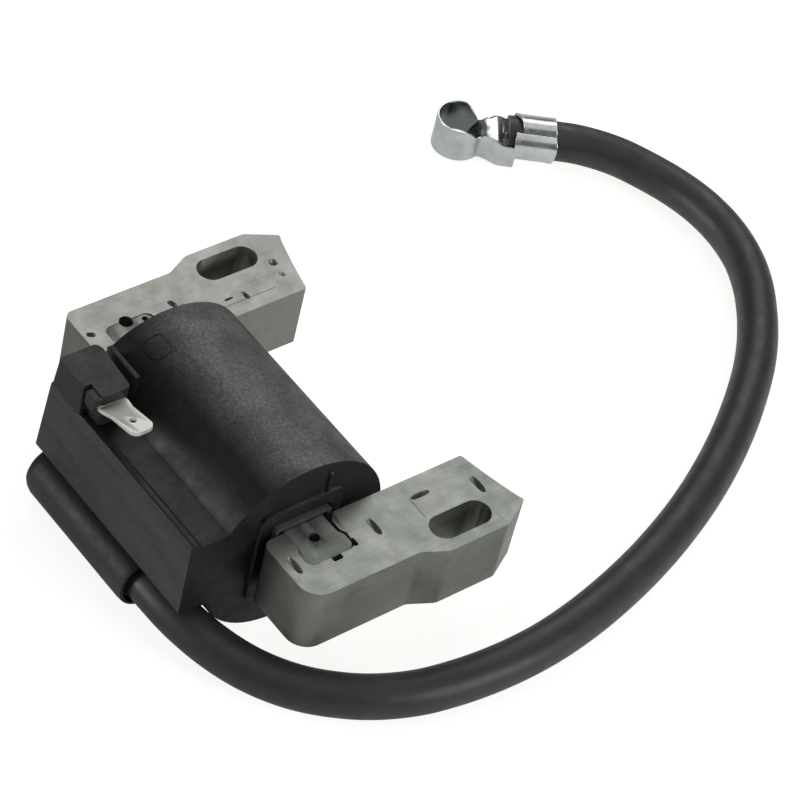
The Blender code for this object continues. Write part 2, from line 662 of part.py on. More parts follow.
# kill tab: blade with a locating hole, wider root, tail bent down to the board
BLADE_TILT = math.radians(11.0)
TAB_L0, TAB_L1 = -7.4, 0.75
root = slab_mesh("tab_root", [fillet([(-15.9, TAIL_Y - 2.4, 0.2), (TAB_L0, TAIL_Y - 2.4, 0.1),
                                      (TAB_L0, TAIL_Y + 2.4, 0.1), (-15.9, TAIL_Y + 2.4, 0.2)], 2)],
                 TAB_TOP - TERM_T, TAB_TOP)
tab = add("kill_terminal", root, PARTS, M_TAB)
bl = slab_mesh("tab_blade", [fillet([(0, -2.4, 0.1), (0.7, -2.4, 0.6), (2.4, -2.0, 0.8), (8.1, -2.0, 1.3),
                                     (8.1, 2.0, 1.3), (2.4, 2.0, 0.8), (0.7, 2.4, 0.6), (0, 2.4, 0.1)], 4),
                             circle(5.1, 0, 0.62, 16)], -TERM_T, 0)
bl.transform(Matrix.Translation(((TAB_L0 - 0.25) * MM, (TAIL_Y) * MM, TAB_TOP * MM))
             @ Matrix.Rotation(-BLADE_TILT, 4, 'Y')
             @ Matrix.Rotation(math.radians(2.0), 4, 'Z'))
blade = add("tab_blade", bl, CUTTERS, None)
boolean(tab, blade, 'UNION')
tail = box("tab_tail", TAIL_X - 0.4, TAIL_X + 0.4, TAIL_C - 0.8, TAIL_C + 0.8, BOX_TOP - 3.0, TAB_TOP - 0.4)
boolean(tab, tail, 'UNION')

# ===================================================== windings and bobbins
prim = slab("primary_bobbin", [round_rect(COIL_Y, CORE_Z, TUBE_W, TUBE_H, 0.6, 3),
                               round_rect(COIL_Y, CORE_Z, TUBE_W - 2 * TUBE_WALL, TUBE_H - 2 * TUBE_WALL, 0.2, 2)],
            -TUBE_X, TUBE_X, M_PBOB, "X")
FLANGE_R = 10.9
for i, xa in enumerate((-14.8, 14.0)):
    notch_y = -9.2
    disc = cut_slab("primary_flange_%d" % i,
                    [circle(COIL_Y, COIL_Z, FLANGE_R, 36),
                     round_rect(COIL_Y, CORE_Z, TUBE_W - 0.5, TUBE_H - 0.5, 0.4, 2)], xa, xa + 0.8, "X")
    boolean(prim, disc, 'UNION')
W1 = (COIL_Y - 6.2, COIL_Z + 2.4)      # where the primary's start leaves it
W2 = (COIL_Y - 6.2, COIL_Z - 2.9)      # where its end leaves it
for i, (wy, wz) in enumerate((W1, W2)):
    boolean(prim, rod("start_notch_%d" % i, (-16.5, wy, wz), (-13.2, wy, wz), 0.62, None, 12))

primary = slab("primary_winding", [round_rect(COIL_Y, CORE_Z, 14.2, 17.8, 3.2, 5),
                                   round_rect(COIL_Y, CORE_Z, TUBE_W + 2 * GAP, TUBE_H + 2 * GAP, 0.9, 3)],
               -13.7, 13.7, M_PWIND, "X")
sleeve = slab("insulation_sleeve", [circle(COIL_Y, COIL_Z, 10.78, 32), circle(COIL_Y, COIL_Z, 10.43, 32)],
              -13.6, 13.6, M_TAPE, "X")

SEC_IN, SEC_TUBE, SEC_FL = 11.2, 12.0, 14.25
SEC_HALF = 14.0
SECTIONS = 6
FL_T = 0.7
PITCH = (2 * SEC_HALF - FL_T) / SECTIONS
prof = [(SEC_IN, -SEC_HALF), (SEC_FL, -SEC_HALF), (SEC_FL, -SEC_HALF + FL_T)]
for k in range(SECTIONS):
    a = -SEC_HALF + k * PITCH + FL_T
    b = -SEC_HALF + (k + 1) * PITCH
    prof += [(SEC_TUBE, a), (SEC_TUBE, b), (SEC_FL, b), (SEC_FL, b + FL_T)]
prof.append((SEC_IN, SEC_HALF))
sbob = lathe("secondary_bobbin", prof, COIL_Y, COIL_Z, M_SBOB, 32)
boolean(sbob, box("crossover_notch", -SEC_HALF + FL_T + 0.4, SEC_HALF - FL_T - 0.4,
                  COIL_Y - 1.5, COIL_Y + 1.5, COIL_Z + SEC_TUBE + 0.04, COIL_Z + SEC_FL + 1.5))
smooth(sbob, 30)

WIND_IN, WIND_OUT = SEC_TUBE + 0.35, 13.9
wind = slab("secondary_winding", [circle(COIL_Y, COIL_Z, WIND_OUT, 32), circle(COIL_Y, COIL_Z, WIND_IN, 32)],
            -SEC_HALF + FL_T + GAP, SEC_HALF - FL_T - GAP, M_SWIND, "X")
half_a = 1.1 / 13.0
shells = []
for k in range(1, SECTIONS):
    xa = -SEC_HALF + k * PITCH - GAP
    xb = xa + FL_T + 2 * GAP
    a0 = math.pi / 2 + half_a
    a1 = math.pi / 2 - half_a + 2 * math.pi
    ring = (arc_pts(COIL_Y, COIL_Z, WIND_OUT + 1.0, a0, a1, 32)
            + list(reversed(arc_pts(COIL_Y, COIL_Z, WIND_IN - 0.3, a0, a1, 32))))
    shells.append(slab_mesh("gap_%d" % k, [ring], xa, xb, "X"))
gaps = add("flange_gaps", join_meshes("flange_gaps", shells), CUTTERS, None)
boolean(wind, gaps)

# ========================================================= module chamber
BRD_Y0 = BOX_LEFT + BOX_WALL + GAP
BRD_Y1 = BRD_Y0 + 1.0
board = box("module_board", -16.0, 14.6, BRD_Y0, BRD_Y1, BOX_BOTTOM + BOX_WALL + GAP,
            BOX_TOP - BOX_WALL - GAP, M_PCB)
CY0 = BRD_Y1 + GAP


def component(name, x0, x1, z0, z1, h, mat, b=0.25):
    ob = box(name, x0, x1, CY0, CY0 + h, z0, z1, mat)
    bevel(ob, b, 2, 30)
    return ob


component("power_switch", 4.6, 12.2, 14.0, 20.4, 2.0, M_CHIP1)
component("driver_chip", -2.2, 2.8, 15.4, 19.3, 1.4, M_CHIP2)
component("timing_capacitor", -10.6, -4.6, 15.0, 20.2, 1.9, M_CAP, 0.5)
component("bias_resistor", -2.0, 1.2, 20.6, 22.2, 0.6, M_RES, 0.1)
dio = rod("clamp_diode", (4.9, CY0 + 0.95, 22.0), (9.1, CY0 + 0.95, 22.0), 0.85, M_DIO, 20)
smooth(dio, 40)

# ================================================================== wiring
X_RUN = -15.6
wire("primary_start_wire", bent([(-14.0, W1[0], W1[1]), (X_RUN, W1[0], W1[1]),
                                 (X_RUN, CY0 + 0.35, W1[1])]), 0.28, M_W1)
wire("primary_end_wire", bent([(-14.0, W2[0], W2[1]), (X_RUN, W2[0], W2[1]),
                               (X_RUN, CY0 + 0.35, W2[1])]), 0.28, M_W2)
wire("ground_wire", bent([(-13.2, CY0 + 0.6, 20.4), (-14.6, CY0 + 1.6, 20.4), (-15.6, -15.2, 20.4),
                          (-19.0, -15.2, 20.4), (-19.4, -12.3, 20.4)], 0.9), 0.3, M_W3)
wire("ht_link_wire", [along(WIND_OUT + 0.3), along(16.0), along(axes_gap - 1.25)], 0.33, M_W4)
lathe("ht_contact", [(0, -14.3), (0.75, -14.3), (0.9, -14.0), (0.9, TOWER_BORE_X - 1.2),
                     (0.55, TOWER_BORE_X - 1.0), (0.12, TOWER_BORE_X + 0.05), (0, TOWER_BORE_X + 0.05)],
      TOWER_Y, TOWER_Z, M_CONT, 20)
wire("kill_link_wire", bent([(TAIL_X, TAIL_C, BOX_TOP - 3.35), (TAIL_X, TAIL_C, BOX_TOP - 4.3),
                             (TAIL_X + 1.6, CY0 + 0.35, BOX_TOP - 4.7)]), 0.28, M_W5)

# ======================================================= seal, lead and clip
seal = lathe("lead_seal", [(LEAD_R + 0.2, 3.9), (SEAL_R, 3.9), (SEAL_R, TOWER_X1 - 1.3),
                           (SEAL_R - 0.2, TOWER_X1 - 0.9), (LEAD_R + 0.2, TOWER_X1 - 0.9)],
             TOWER_Y, TOWER_Z, M_SEAL, 32)


def blend(t):
    t = max(0.0, min(1.0, t))
    return t * t * (3 - 2 * t)


def lead_route(count=LEAD_POINTS):
    """Centre line of the lead: straight out of the outlet, down to the
    surface, one sweep round the near leg and back over to the clip."""
    total = sum(l for l, _ in LEAD_RUN)
    fine = []
    x, y, h = LEAD_X0, TOWER_Y, 0.0
    s = 0.0
    # curvature eased between stretches so the bends run into one another
    marks, acc = [], 0.0
    for l, deg in LEAD_RUN:
        marks.append((acc, acc + l, math.radians(deg) / l))
        acc += l

    def curvature(q):
        k = 0.0
        ease = 3.0
        for i, (a, b, kk) in enumerate(marks):
            up = 1.0 if i == 0 else blend((q - a + ease) / (2 * ease))
            dn = 0.0 if i == len(marks) - 1 else blend((q - b + ease) / (2 * ease))
            k += kk * (up - dn)
        return k

    ds = 0.25
    n = int(round(total / ds))
    ds = total / n
    for i in range(n + 1):
        q = i * ds
        z = TOWER_Z + (LEAD_FLOOR_Z - TOWER_Z) * blend((q - 15.5) / 30.0)
        z += (LEAD_END_Z - LEAD_FLOOR_Z) * blend((q - (total - 30.0)) / 18.0)
        fine.append((x, y, z, h))
        hm = h + curvature(q + ds / 2) * ds / 2
        x += math.cos(hm) * ds
        y += math.sin(hm) * ds
        h += curvature(q + ds / 2) * ds
    out = []
    for i in range(count):
        out.append(fine[int(round(i * n / (count - 1)))])
    return out


ROUTE = lead_route()
lead = wire("ht_lead", [(x, y, z) for x, y, z, _ in ROUTE], LEAD_R, M_LEAD, 4)
lead.data.splines[0].use_smooth = True

# clip frame: origin at the lead's cut end, +a on towards the plug
EX, EY, EZ, EH = ROUTE[-1]
CLIP = Matrix.Translation((EX * MM, EY * MM, EZ * MM)) @ Matrix.Rotation(EH, 4, 'Z')
BAR_A0, BAR_A1 = -8.4, -1.6    # crimp barrel along the lead
HEAD_A = 8.5                   # centre of the plug socket ring
HEAD_R = 4.35
BAR_IN = LEAD_R + 0.2
BAR_OUT = BAR_IN + SHEET
NECK_B = 2.1                   # half width of the channel at the neck
WALL_LO, WALL_HI = -3.95, 2.4  # strip's lower and upper edges from the lead's centre


def clip_mesh(name, outlines, lo, hi, axis="Z"):
    m = slab_mesh(name, outlines, lo, hi, axis)
    m.transform(CLIP)
    return m


# barrel: open tube rolled round the lead
seam = math.radians(5)
SEAM_AT = math.radians(52)     # the seam leans to one side of the top
ring = (arc_pts(0, 0, BAR_OUT, SEAM_AT + seam, SEAM_AT - seam + 2 * math.pi, 36)
        + list(reversed(arc_pts(0, 0, BAR_IN, SEAM_AT + seam, SEAM_AT - seam + 2 * math.pi, 36))))
clip = add("plug_clip", clip_mesh("plug_clip", [ring], BAR_A0, BAR_A1, "X"), PARTS, M_CLIP)


def wall_side(offset, n=8):
    """Centre line of one side strip from the barrel to the far side of the
    ring, pushed outwards by offset."""
    pts = []
    r = HEAD_R - SHEET / 2
    b0 = BAR_IN + SHEET / 2 + 0.02
    a_neck = HEAD_A - 3.9
    for k in range(3):
        pts.append((-2.2 + 1.4 * k, b0))
    for k in range(1, n + 1):
        t = k / n
        pts.append((0.6 + (a_neck - 0.6) * t, b0 + (NECK_B - b0) * blend(t)))
    start = math.atan2(NECK_B + 0.25, -(r * r - (NECK_B + 0.25) ** 2) ** 0.5)
    for k in range(0, 15):
        ang = start * (1 - k / 14)
        pts.append((HEAD_A + r * math.cos(ang), r * math.sin(ang)))
    out = []
    for i, p in enumerate(pts):
        q0 = Vector(pts[max(i - 1, 0)])
        q1 = Vector(pts[min(i + 1, len(pts) - 1)])
        t = (q1 - q0).normalized()
        nrm = Vector((-t.y, t.x))
        out.append((p[0] + nrm.x * offset, p[1] + nrm.y * offset))
    out[-1] = (HEAD_A + r + offset, 0.0)
    return out


o_pts, i_pts = wall_side(SHEET / 2), wall_side(-SHEET / 2)
strip = (o_pts + [(a, -b) for a, b in reversed(o_pts[:-1])]
         + [(a, -b) for a, b in i_pts] + list(reversed(i_pts[:-1])))
walls = add("clip_walls", clip_mesh("clip_walls", [strip], WALL_LO, WALL_HI), CUTTERS, None)
boolean(clip, walls, 'UNION')
# channel floor from the barrel's underside to the ring
edge = [(a, b - 0.05) for a, b in o_pts[:11]]
floor = add("clip_floor", clip_mesh("clip_floor", [edge + [(a, -b) for a, b in reversed(edge)]],
                                    WALL_LO - 0.35, WALL_LO + 0.2), CUTTERS, None)
# saddle pressed up across the neck, its tongue reaching down into the ring
arch = fillet([(2.95, WALL_LO + 0.05, 0), (3.0, -1.0, 0.4), (3.5, 0.3, 0.5), (4.4, 0.6, 0.6), (5.2, 0.0, 0.6),
               (5.9, -1.8, 0.5), (6.35, -3.2, 0), (5.9, -3.3, 0), (5.45, -1.9, 0.4), (4.85, -0.35, 0.5),
               (4.35, 0.1, 0.4), (3.8, -0.1, 0.4), (3.45, -1.1, 0.3), (3.4, WALL_LO + 0.05, 0)], 2)
boolean(floor, add("clip_saddle", clip_mesh("clip_saddle", [arch], -1.7, 1.7, "Y"), CUTTERS, None), 'UNION')
boolean(clip, floor, 'UNION')
smooth(clip, 35)

# folded strands of the lead's conductor, from its cut end down to the clip
strand_pts = bent([(0.3, 0, 0), (1.5, 0, 0), (2.2, 0, -2.6)], 0.7, 4)
cm = [CLIP @ Vector((a * MM, b * MM, c * MM)) for a, b, c in strand_pts]
wire("lead_strands", [(v.x / MM, v.y / MM, v.z / MM) for v in cm], 0.55, M_STRAND)
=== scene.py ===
"""Looks of the small-engine ignition coil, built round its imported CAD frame."""
import bpy
import bmesh
import math
import random
from mathutils import Matrix, Vector, noise

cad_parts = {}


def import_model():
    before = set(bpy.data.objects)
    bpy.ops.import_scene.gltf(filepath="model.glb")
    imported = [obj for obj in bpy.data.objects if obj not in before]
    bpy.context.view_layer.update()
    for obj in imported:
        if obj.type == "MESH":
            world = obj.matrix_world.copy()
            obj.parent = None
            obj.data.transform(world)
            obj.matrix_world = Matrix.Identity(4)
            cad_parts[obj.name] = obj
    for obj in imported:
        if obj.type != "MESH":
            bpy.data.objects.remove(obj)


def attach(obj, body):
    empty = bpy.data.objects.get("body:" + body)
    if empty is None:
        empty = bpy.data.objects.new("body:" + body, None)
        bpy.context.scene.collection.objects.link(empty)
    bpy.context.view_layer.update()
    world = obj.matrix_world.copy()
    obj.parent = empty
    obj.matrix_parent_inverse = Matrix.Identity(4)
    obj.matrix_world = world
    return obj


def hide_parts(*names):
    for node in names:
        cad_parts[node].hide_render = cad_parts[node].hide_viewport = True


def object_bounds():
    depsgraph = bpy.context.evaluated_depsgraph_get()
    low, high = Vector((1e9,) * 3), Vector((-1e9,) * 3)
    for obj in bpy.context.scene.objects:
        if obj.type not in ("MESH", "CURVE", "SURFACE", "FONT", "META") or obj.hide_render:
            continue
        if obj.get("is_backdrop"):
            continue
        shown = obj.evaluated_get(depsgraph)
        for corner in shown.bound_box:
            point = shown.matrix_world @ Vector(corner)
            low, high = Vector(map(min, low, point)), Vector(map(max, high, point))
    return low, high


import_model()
CAD_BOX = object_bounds()
MM = 0.001
scn = bpy.context.scene
NODES = {o.name: o for o in scn.objects if o.type == 'MESH'}

# ------------------------------------------------------- shared dimensions
GAP = 0.3
SLOT_PITCH, SLOT_Y, SLOT_W, SLOT_L = 61.0, 16.45, 4.8, 11.0
LEG_T, LEG_TOP = 12.0, 22.3
LEG_INNER_X, LEG_OUTER_X, LEG_WIDE_X = 20.1, 32.8, 34.8
LEG_BACK_Y, LEG_STEP_Y0, LEG_STEP_Y1 = -13.15, 6.95, 11.25
POLE_IN_Y, POLE_TIP, POLE_SHOULDER_Y = 24.65, (31.9, 27.94), 22.55
FLYWHEEL_R = 103.0
COIL_Y, COIL_R = -5.25, 16.3
COIL_Z, COIL_X = COIL_R, 18.5
CASE_WALL = 1.7
BORE_R = COIL_R - CASE_WALL
END_WALL = 2.8
BOX_LEFT, BOX_BOTTOM, BOX_TOP, LIP_TOP, LIP_W, BOX_WALL = -25.35, 10.8, 25.4, 26.4, 1.1, 1.4
TOWER_Y, TOWER_Z, TOWER_R, TOWER_X0, TOWER_X1, TOWER_BORE_X = -22.7, 6.25, 4.95, -19.3, 7.8, -9.4
LEAD_D = 7.0
LEAD_R = LEAD_D / 2
LEAD_X0, LEAD_FLOOR_Z, LEAD_END_Z = -9.0, LEAD_R, 4.75
LEAD_RUN = [(18.0, 0.0), (28.83, 45.09), (19.91, 33.14), (28.38, 21.65),
            (67.8, 28.92), (22.0, 19.01), (47.02, 85.37), (11.0, 0.0)]
CORE_W, TUBE_W, TUBE_H, TUBE_WALL, TUBE_X = 8.4, 10.4, 14.0, 0.7, 19.8
CORE_Z = LEG_TOP - LEG_T / 2
SHEET, TERM_T = 0.42, 0.6
SEAL_R = 4.1

# ------------------------------------------------------------------ camera
# looks down over the near leg's back corner, a little rolled
AZ, EL, ROLL, DIST = math.radians(41.98), math.radians(44.91), math.radians(14.97), 550.0
BACK = Vector((0.47367, -0.52652, 0.70596))
RIGHT = Vector((0.5962, 0.7818, 0.1830))
UP = Vector((-0.6482, 0.3342, 0.6843))
RIGHT = (RIGHT - BACK * RIGHT.dot(BACK)).normalized()
UP = BACK.cross(RIGHT).normalized()
cam_data = bpy.data.cameras.new("camera")
cam = bpy.data.objects.new("camera", cam_data)
scn.collection.objects.link(cam)
cam_data.sensor_width = 36.0
cam_data.lens = 160.77
cam_data.clip_end = 5.0
cam_data.clip_start = 0.05
m = Matrix.Identity(4)
for i, v in enumerate((RIGHT, UP, BACK)):
    m[0][i], m[1][i], m[2][i] = v.x, v.y, v.z
m.translation = Vector((267.2, -266.65, 411.0)) * MM
cam.matrix_world = m
scn.camera = cam


# --------------------------------------------------------- outline helpers
def fillet(corners, seg=8):
    out = []
    n = len(corners)
    for i in range(n):
        p0, p1, p2 = (Vector(corners[(i + d) % n][:2]) for d in (-1, 0, 1))
        r = corners[i][2]
        u, w = p0 - p1, p2 - p1
        if r <= 0:
            out.append((p1.x, p1.y))
            continue
        half = u.angle(w) / 2
        t = min(r / math.tan(half), 0.49 * u.length, 0.49 * w.length)
        r = t * math.tan(half)
        u.normalize()
        w.normalize()
        a, b = p1 + u * t, p1 + w * t
        c = p1 + (u + w).normalized() * (r / math.sin(half))
        a0 = math.atan2(a.y - c.y, a.x - c.x)
        a1 = math.atan2(b.y - c.y, b.x - c.x)
        d = (a1 - a0 + math.pi) % (2 * math.pi) - math.pi
        for k in range(seg + 1):
            ang = a0 + d * k / seg
            out.append((c.x + r * math.cos(ang), c.y + r * math.sin(ang)))
    return out


def round_rect(ca, cb, wa, wb, r, seg=6):
    return fillet([(ca - wa / 2, cb - wb / 2, r), (ca + wa / 2, cb - wb / 2, r),
                   (ca + wa / 2, cb + wb / 2, r), (ca - wa / 2, cb + wb / 2, r)], seg)


def circle(ca, cb, r, n=64):
    return [(ca + r * math.cos(2 * math.pi * k / n), cb + r * math.sin(2 * math.pi * k / n))
            for k in range(n)]


def arc_pts(ca, cb, r, a0, a1, n):
    return [(ca + r * math.cos(a0 + (a1 - a0) * k / n), cb + r * math.sin(a0 + (a1 - a0) * k / n))
            for k in range(n + 1)]


AXES = {"Z": Matrix.Identity(4),
        "X": Matrix(((0, 0, 1, 0), (1, 0, 0, 0), (0, 1, 0, 0), (0, 0, 0, 1))),
        "Y": Matrix(((1, 0, 0, 0), (0, 0, -1, 0), (0, 1, 0, 0), (0, 0, 0, 1)))}


# ------------------------------------------------------------ mesh helpers
def clean(me, dist=0.00001):
    bm = bmesh.new()
    bm.from_mesh(me)
    bmesh.ops.remove_doubles(bm, verts=bm.verts, dist=dist)
    bmesh.ops.recalc_face_normals(bm, faces=bm.faces)
    bm.to_mesh(me)
    bm.free()
    return me


def obj(name, me):
    o = bpy.data.objects.new(name, me)
    scn.collection.objects.link(o)
    return o


def baked(o):
    """Mesh of an object with its modifiers applied; the object goes away."""
    bpy.context.view_layer.update()
    dg = bpy.context.evaluated_depsgraph_get()
    me = bpy.data.meshes.new_from_object(o.evaluated_get(dg))
    me.transform(o.matrix_world)
    data = o.data
    bpy.data.objects.remove(o, do_unlink=True)
    if isinstance(data, bpy.types.Curve):
        bpy.data.curves.remove(data)
    return me


def slab_mesh(name, outlines, lo, hi, axis="Z"):
    cu = bpy.data.curves.new(name, 'CURVE')
    cu.dimensions = '2D'
    cu.fill_mode = 'BOTH'
    cu.extrude = abs(hi - lo) / 2 * MM
    for pts in outlines:
        sp = cu.splines.new('POLY')
        sp.points.add(len(pts) - 1)
        for p, (a, b) in zip(sp.points, pts):
            p.co = (a * MM, b * MM, 0, 1)
        sp.use_cyclic_u = True
    o = obj(name, cu)
    mid = (lo + hi) / 2 * MM
    o.matrix_world = AXES[axis] @ Matrix.Translation((0, 0, mid if axis != "Y" else -mid))
    return clean(baked(o))


def box_mesh(name, x0, x1, y0, y1, z0, z1):
    bm = bmesh.new()
    bmesh.ops.create_cube(bm, size=1.0)
    bmesh.ops.scale(bm, vec=((x1 - x0) * MM, (y1 - y0) * MM, (z1 - z0) * MM), verts=bm.verts)
    bmesh.ops.translate(bm, vec=((x0 + x1) / 2 * MM, (y0 + y1) / 2 * MM, (z0 + z1) / 2 * MM), verts=bm.verts)
    me = bpy.data.meshes.new(name)
    bm.to_mesh(me)
    bm.free()
    return me


def rod_mesh(name, p0, p1, r, n=48):
    a, b = Vector(p0) * MM, Vector(p1) * MM
    bm = bmesh.new()
    bmesh.ops.create_cone(bm, cap_ends=True, segments=n, radius1=r * MM, radius2=r * MM, depth=(b - a).length)
    q = (b - a).to_track_quat('Z', 'Y').to_matrix().to_4x4()
    bmesh.ops.transform(bm, matrix=Matrix.Translation((a + b) / 2) @ q, verts=bm.verts)
    me = bpy.data.meshes.new(name)
    bm.to_mesh(me)
    bm.free()
    return me


def lathe_mesh(name, profile, y, z, steps=96):
    me = bpy.data.meshes.new(name)
    bm = bmesh.new()
    vs = [bm.verts.new((r * MM, 0, x * MM)) for r, x in profile]
    for a, b in zip(vs, vs[1:]):
        bm.edges.new((a, b))
    if min(p[0] for p in profile) > 0:
        bm.edges.new((vs[-1], vs[0]))
    bm.to_mesh(me)
    bm.free()
    o = obj(name, me)
    sc = o.modifiers.new("turn", 'SCREW')
    sc.axis = 'Z'
    sc.steps = sc.render_steps = steps
    sc.use_merge_vertices = True
    sc.merge_threshold = 0.00001
    o.matrix_world = Matrix.Translation((0, y * MM, z * MM)) @ AXES["X"]
    return clean(baked(o))


def bevelled(me, width, seg=3, angle=35, weights=None):
    o = obj(me.name, me)
    md = o.modifiers.new("edge", 'BEVEL')
    md.width = width * MM
    md.segments = seg
    md.limit_method = 'ANGLE'
    md.angle_limit = math.radians(angle)
    if weights is not None:
        at = me.attributes.new("bevel_weight_edge", 'FLOAT', 'EDGE')
        for e in me.edges:
            at.data[e.index].value = weights(*(me.vertices[i].co / MM for i in e.vertices))
        md.limit_method = 'WEIGHT'
    return baked(o)


def combined(name, me, ops):
    """Mesh after a chain of exact Booleans [(tool mesh, operation)]."""
    o = obj(name, me)
    tools = []
    for tool, op in ops:
        t = obj(name + "_tool", tool)
        t.hide_render = True
        tools.append(t)
        md = o.modifiers.new(op.lower(), 'BOOLEAN')
        md.object = t
        md.operation = op
        md.solver = 'EXACT'
    out = baked(o)
    for t in tools:
        bpy.data.objects.remove(t, do_unlink=True)
    return clean(out, 0.000002)


def joined(name, meshes):
    bm = bmesh.new()
    for me in meshes:
        bm.from_mesh(me)
    out = bpy.data.meshes.new(name)
    bm.to_mesh(out)
    bm.free()
    return out


def piece(name, me, mat, node, extra=(), angle=32):
    o = obj(name, me)
    me.materials.clear()
    me.materials.append(mat)
    me.shade_smooth()
    me.set_sharp_from_angle(angle=math.radians(angle))
    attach(o, "root")
    if node:
        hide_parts(node, *extra)
    return o


# ------------------------------------------------------------ lead's route
def blend01(t):
    t = max(0.0, min(1.0, t))
    return t * t * (3 - 2 * t)


def lead_route(count):
    total = sum(l for l, _ in LEAD_RUN)
    marks, acc = [], 0.0
    for l, deg in LEAD_RUN:
        marks.append((acc, acc + l, math.radians(deg) / l))
        acc += l

    def curvature(q):
        k = 0.0
        ease = 3.0
        for i, (a, b, kk) in enumerate(marks):
            up = 1.0 if i == 0 else blend01((q - a + ease) / (2 * ease))
            dn = 0.0 if i == len(marks) - 1 else blend01((q - b + ease) / (2 * ease))
            k += kk * (up - dn)
        return k

    fine = []
    x, y, h = LEAD_X0, TOWER_Y, 0.0
    ds = 0.25
    n = int(round(total / ds))
    ds = total / n
    for i in range(n + 1):
        q = i * ds
        z = TOWER_Z + (LEAD_FLOOR_Z - TOWER_Z) * blend01((q - 15.5) / 30.0)
        z += (LEAD_END_Z - LEAD_FLOOR_Z) * blend01((q - (total - 30.0)) / 18.0)
        fine.append((x, y, z, h))
        hm = h + curvature(q + ds / 2) * ds / 2
        x += math.cos(hm) * ds
        y += math.sin(hm) * ds
        h += curvature(q + ds / 2) * ds
    return [fine[int(round(i * n / (count - 1)))] for i in range(count)]


ROUTE = lead_route(39)
EX, EY, EZ, EH = ROUTE[-1]
CLIP = Matrix.Translation((EX * MM, EY * MM, EZ * MM)) @ Matrix.Rotation(EH, 4, 'Z')


# --------------------------------------------------------------- materials
def rgb(r, g, b):
    """Linear colour from a 0-255 display colour."""
    def f(c):
        c /= 255.0
        return c / 12.92 if c <= 0.04045 else ((c + 0.055) / 1.055) ** 2.4
    return (f(r), f(g), f(b), 1.0)


class Mat:
    """Small wrapper that builds a node tree over a Principled shader."""

    def __init__(self, name, rough=0.5, metal=0.0):
        self.m = bpy.data.materials.new(name)
        self.m.use_nodes = True
        self.nt = self.m.node_tree
        self.b = self.nt.nodes["Principled BSDF"]
        self.b.inputs["Metallic"].default_value = metal
        self.b.inputs["Roughness"].default_value = rough
        self.tc = self.nt.nodes.new("ShaderNodeTexCoord")
        self.obj = self.tc.outputs["Object"]

    def link(self, a, b):
        self.nt.links.new(a, b)

    def mapped(self, scale=(1, 1, 1), rot=(0, 0, 0)):
        n = self.nt.nodes.new("ShaderNodeMapping")
        n.inputs["Scale"].default_value = scale
        n.inputs["Rotation"].default_value = rot
        self.link(self.obj, n.inputs["Vector"])
        return n.outputs["Vector"]

    def noise(self, scale, detail=4.0, rough=0.55, vec=None, dist=0.0):
        n = self.nt.nodes.new("ShaderNodeTexNoise")
        n.inputs["Scale"].default_value = scale
        n.inputs["Detail"].default_value = detail
        n.inputs["Roughness"].default_value = rough
        n.inputs["Distortion"].default_value = dist
        self.link(vec if vec is not None else self.obj, n.inputs["Vector"])
        return n.outputs["Fac"]

    def voronoi(self, scale, feature='F1', vec=None):
        n = self.nt.nodes.new("ShaderNodeTexVoronoi")
        n.feature = feature
        n.inputs["Scale"].default_value = scale
        self.link(vec if vec is not None else self.obj, n.inputs["Vector"])
        return n.outputs["Distance"]

    def ramp(self, fac, stops):
        n = self.nt.nodes.new("ShaderNodeValToRGB")
        el = n.color_ramp.elements
        while len(el) < len(stops):
            el.new(0.5)
        for e, (p, c) in zip(el, stops):
            e.position = p
            e.color = c if len(c) == 4 else (*c, 1)
        self.link(fac, n.inputs["Fac"])
        return n.outputs["Color"]

    def math(self, op, a, b=None, clamp=False):
        n = self.nt.nodes.new("ShaderNodeMath")
        n.operation = op
        n.use_clamp = clamp
        for i, v in enumerate((a, b)):
            if v is None:
                continue
            if isinstance(v, (int, float)):
                n.inputs[i].default_value = v
            else:
                self.link(v, n.inputs[i])
        return n.outputs[0]

    def range(self, v, a, b, lo, hi):
        n = self.nt.nodes.new("ShaderNodeMapRange")
        n.inputs["From Min"].default_value = a
        n.inputs["From Max"].default_value = b
        n.inputs["To Min"].default_value = lo
        n.inputs["To Max"].default_value = hi
        self.link(v, n.inputs["Value"])
        return n.outputs["Result"]

    def mix(self, fac, a, b, kind='MIX'):
        n = self.nt.nodes.new("ShaderNodeMix")
        n.data_type = 'RGBA'
        n.blend_type = kind
        if isinstance(fac, (int, float)):
            n.inputs[0].default_value = fac
        else:
            self.link(fac, n.inputs[0])
        for i, v in ((6, a), (7, b)):
            if isinstance(v, tuple):
                n.inputs[i].default_value = v
            else:
                self.link(v, n.inputs[i])
        return n.outputs[2]

    def xyz(self):
        n = self.nt.nodes.new("ShaderNodeSeparateXYZ")
        self.link(self.obj, n.inputs[0])
        return n.outputs

    def normal_z(self):
        g = self.nt.nodes.new("ShaderNodeNewGeometry")
        n = self.nt.nodes.new("ShaderNodeSeparateXYZ")
        self.link(g.outputs["Normal"], n.inputs[0])
        return n.outputs

    def color(self, c):
        self.link(c, self.b.inputs["Base Color"])
        return self

    def rough(self, r):
        self.link(r, self.b.inputs["Roughness"])
        return self

    def bump(self, height, dist, strength=1.0, prev=None):
        n = self.nt.nodes.new("ShaderNodeBump")
        n.inputs["Distance"].default_value = dist
        n.inputs["Strength"].default_value = strength
        self.link(height, n.inputs["Height"])
        if prev is not None:
            self.link(prev, n.inputs["Normal"])
        self.link(n.outputs["Normal"], self.b.inputs["Normal"])
        return n.outputs["Normal"]


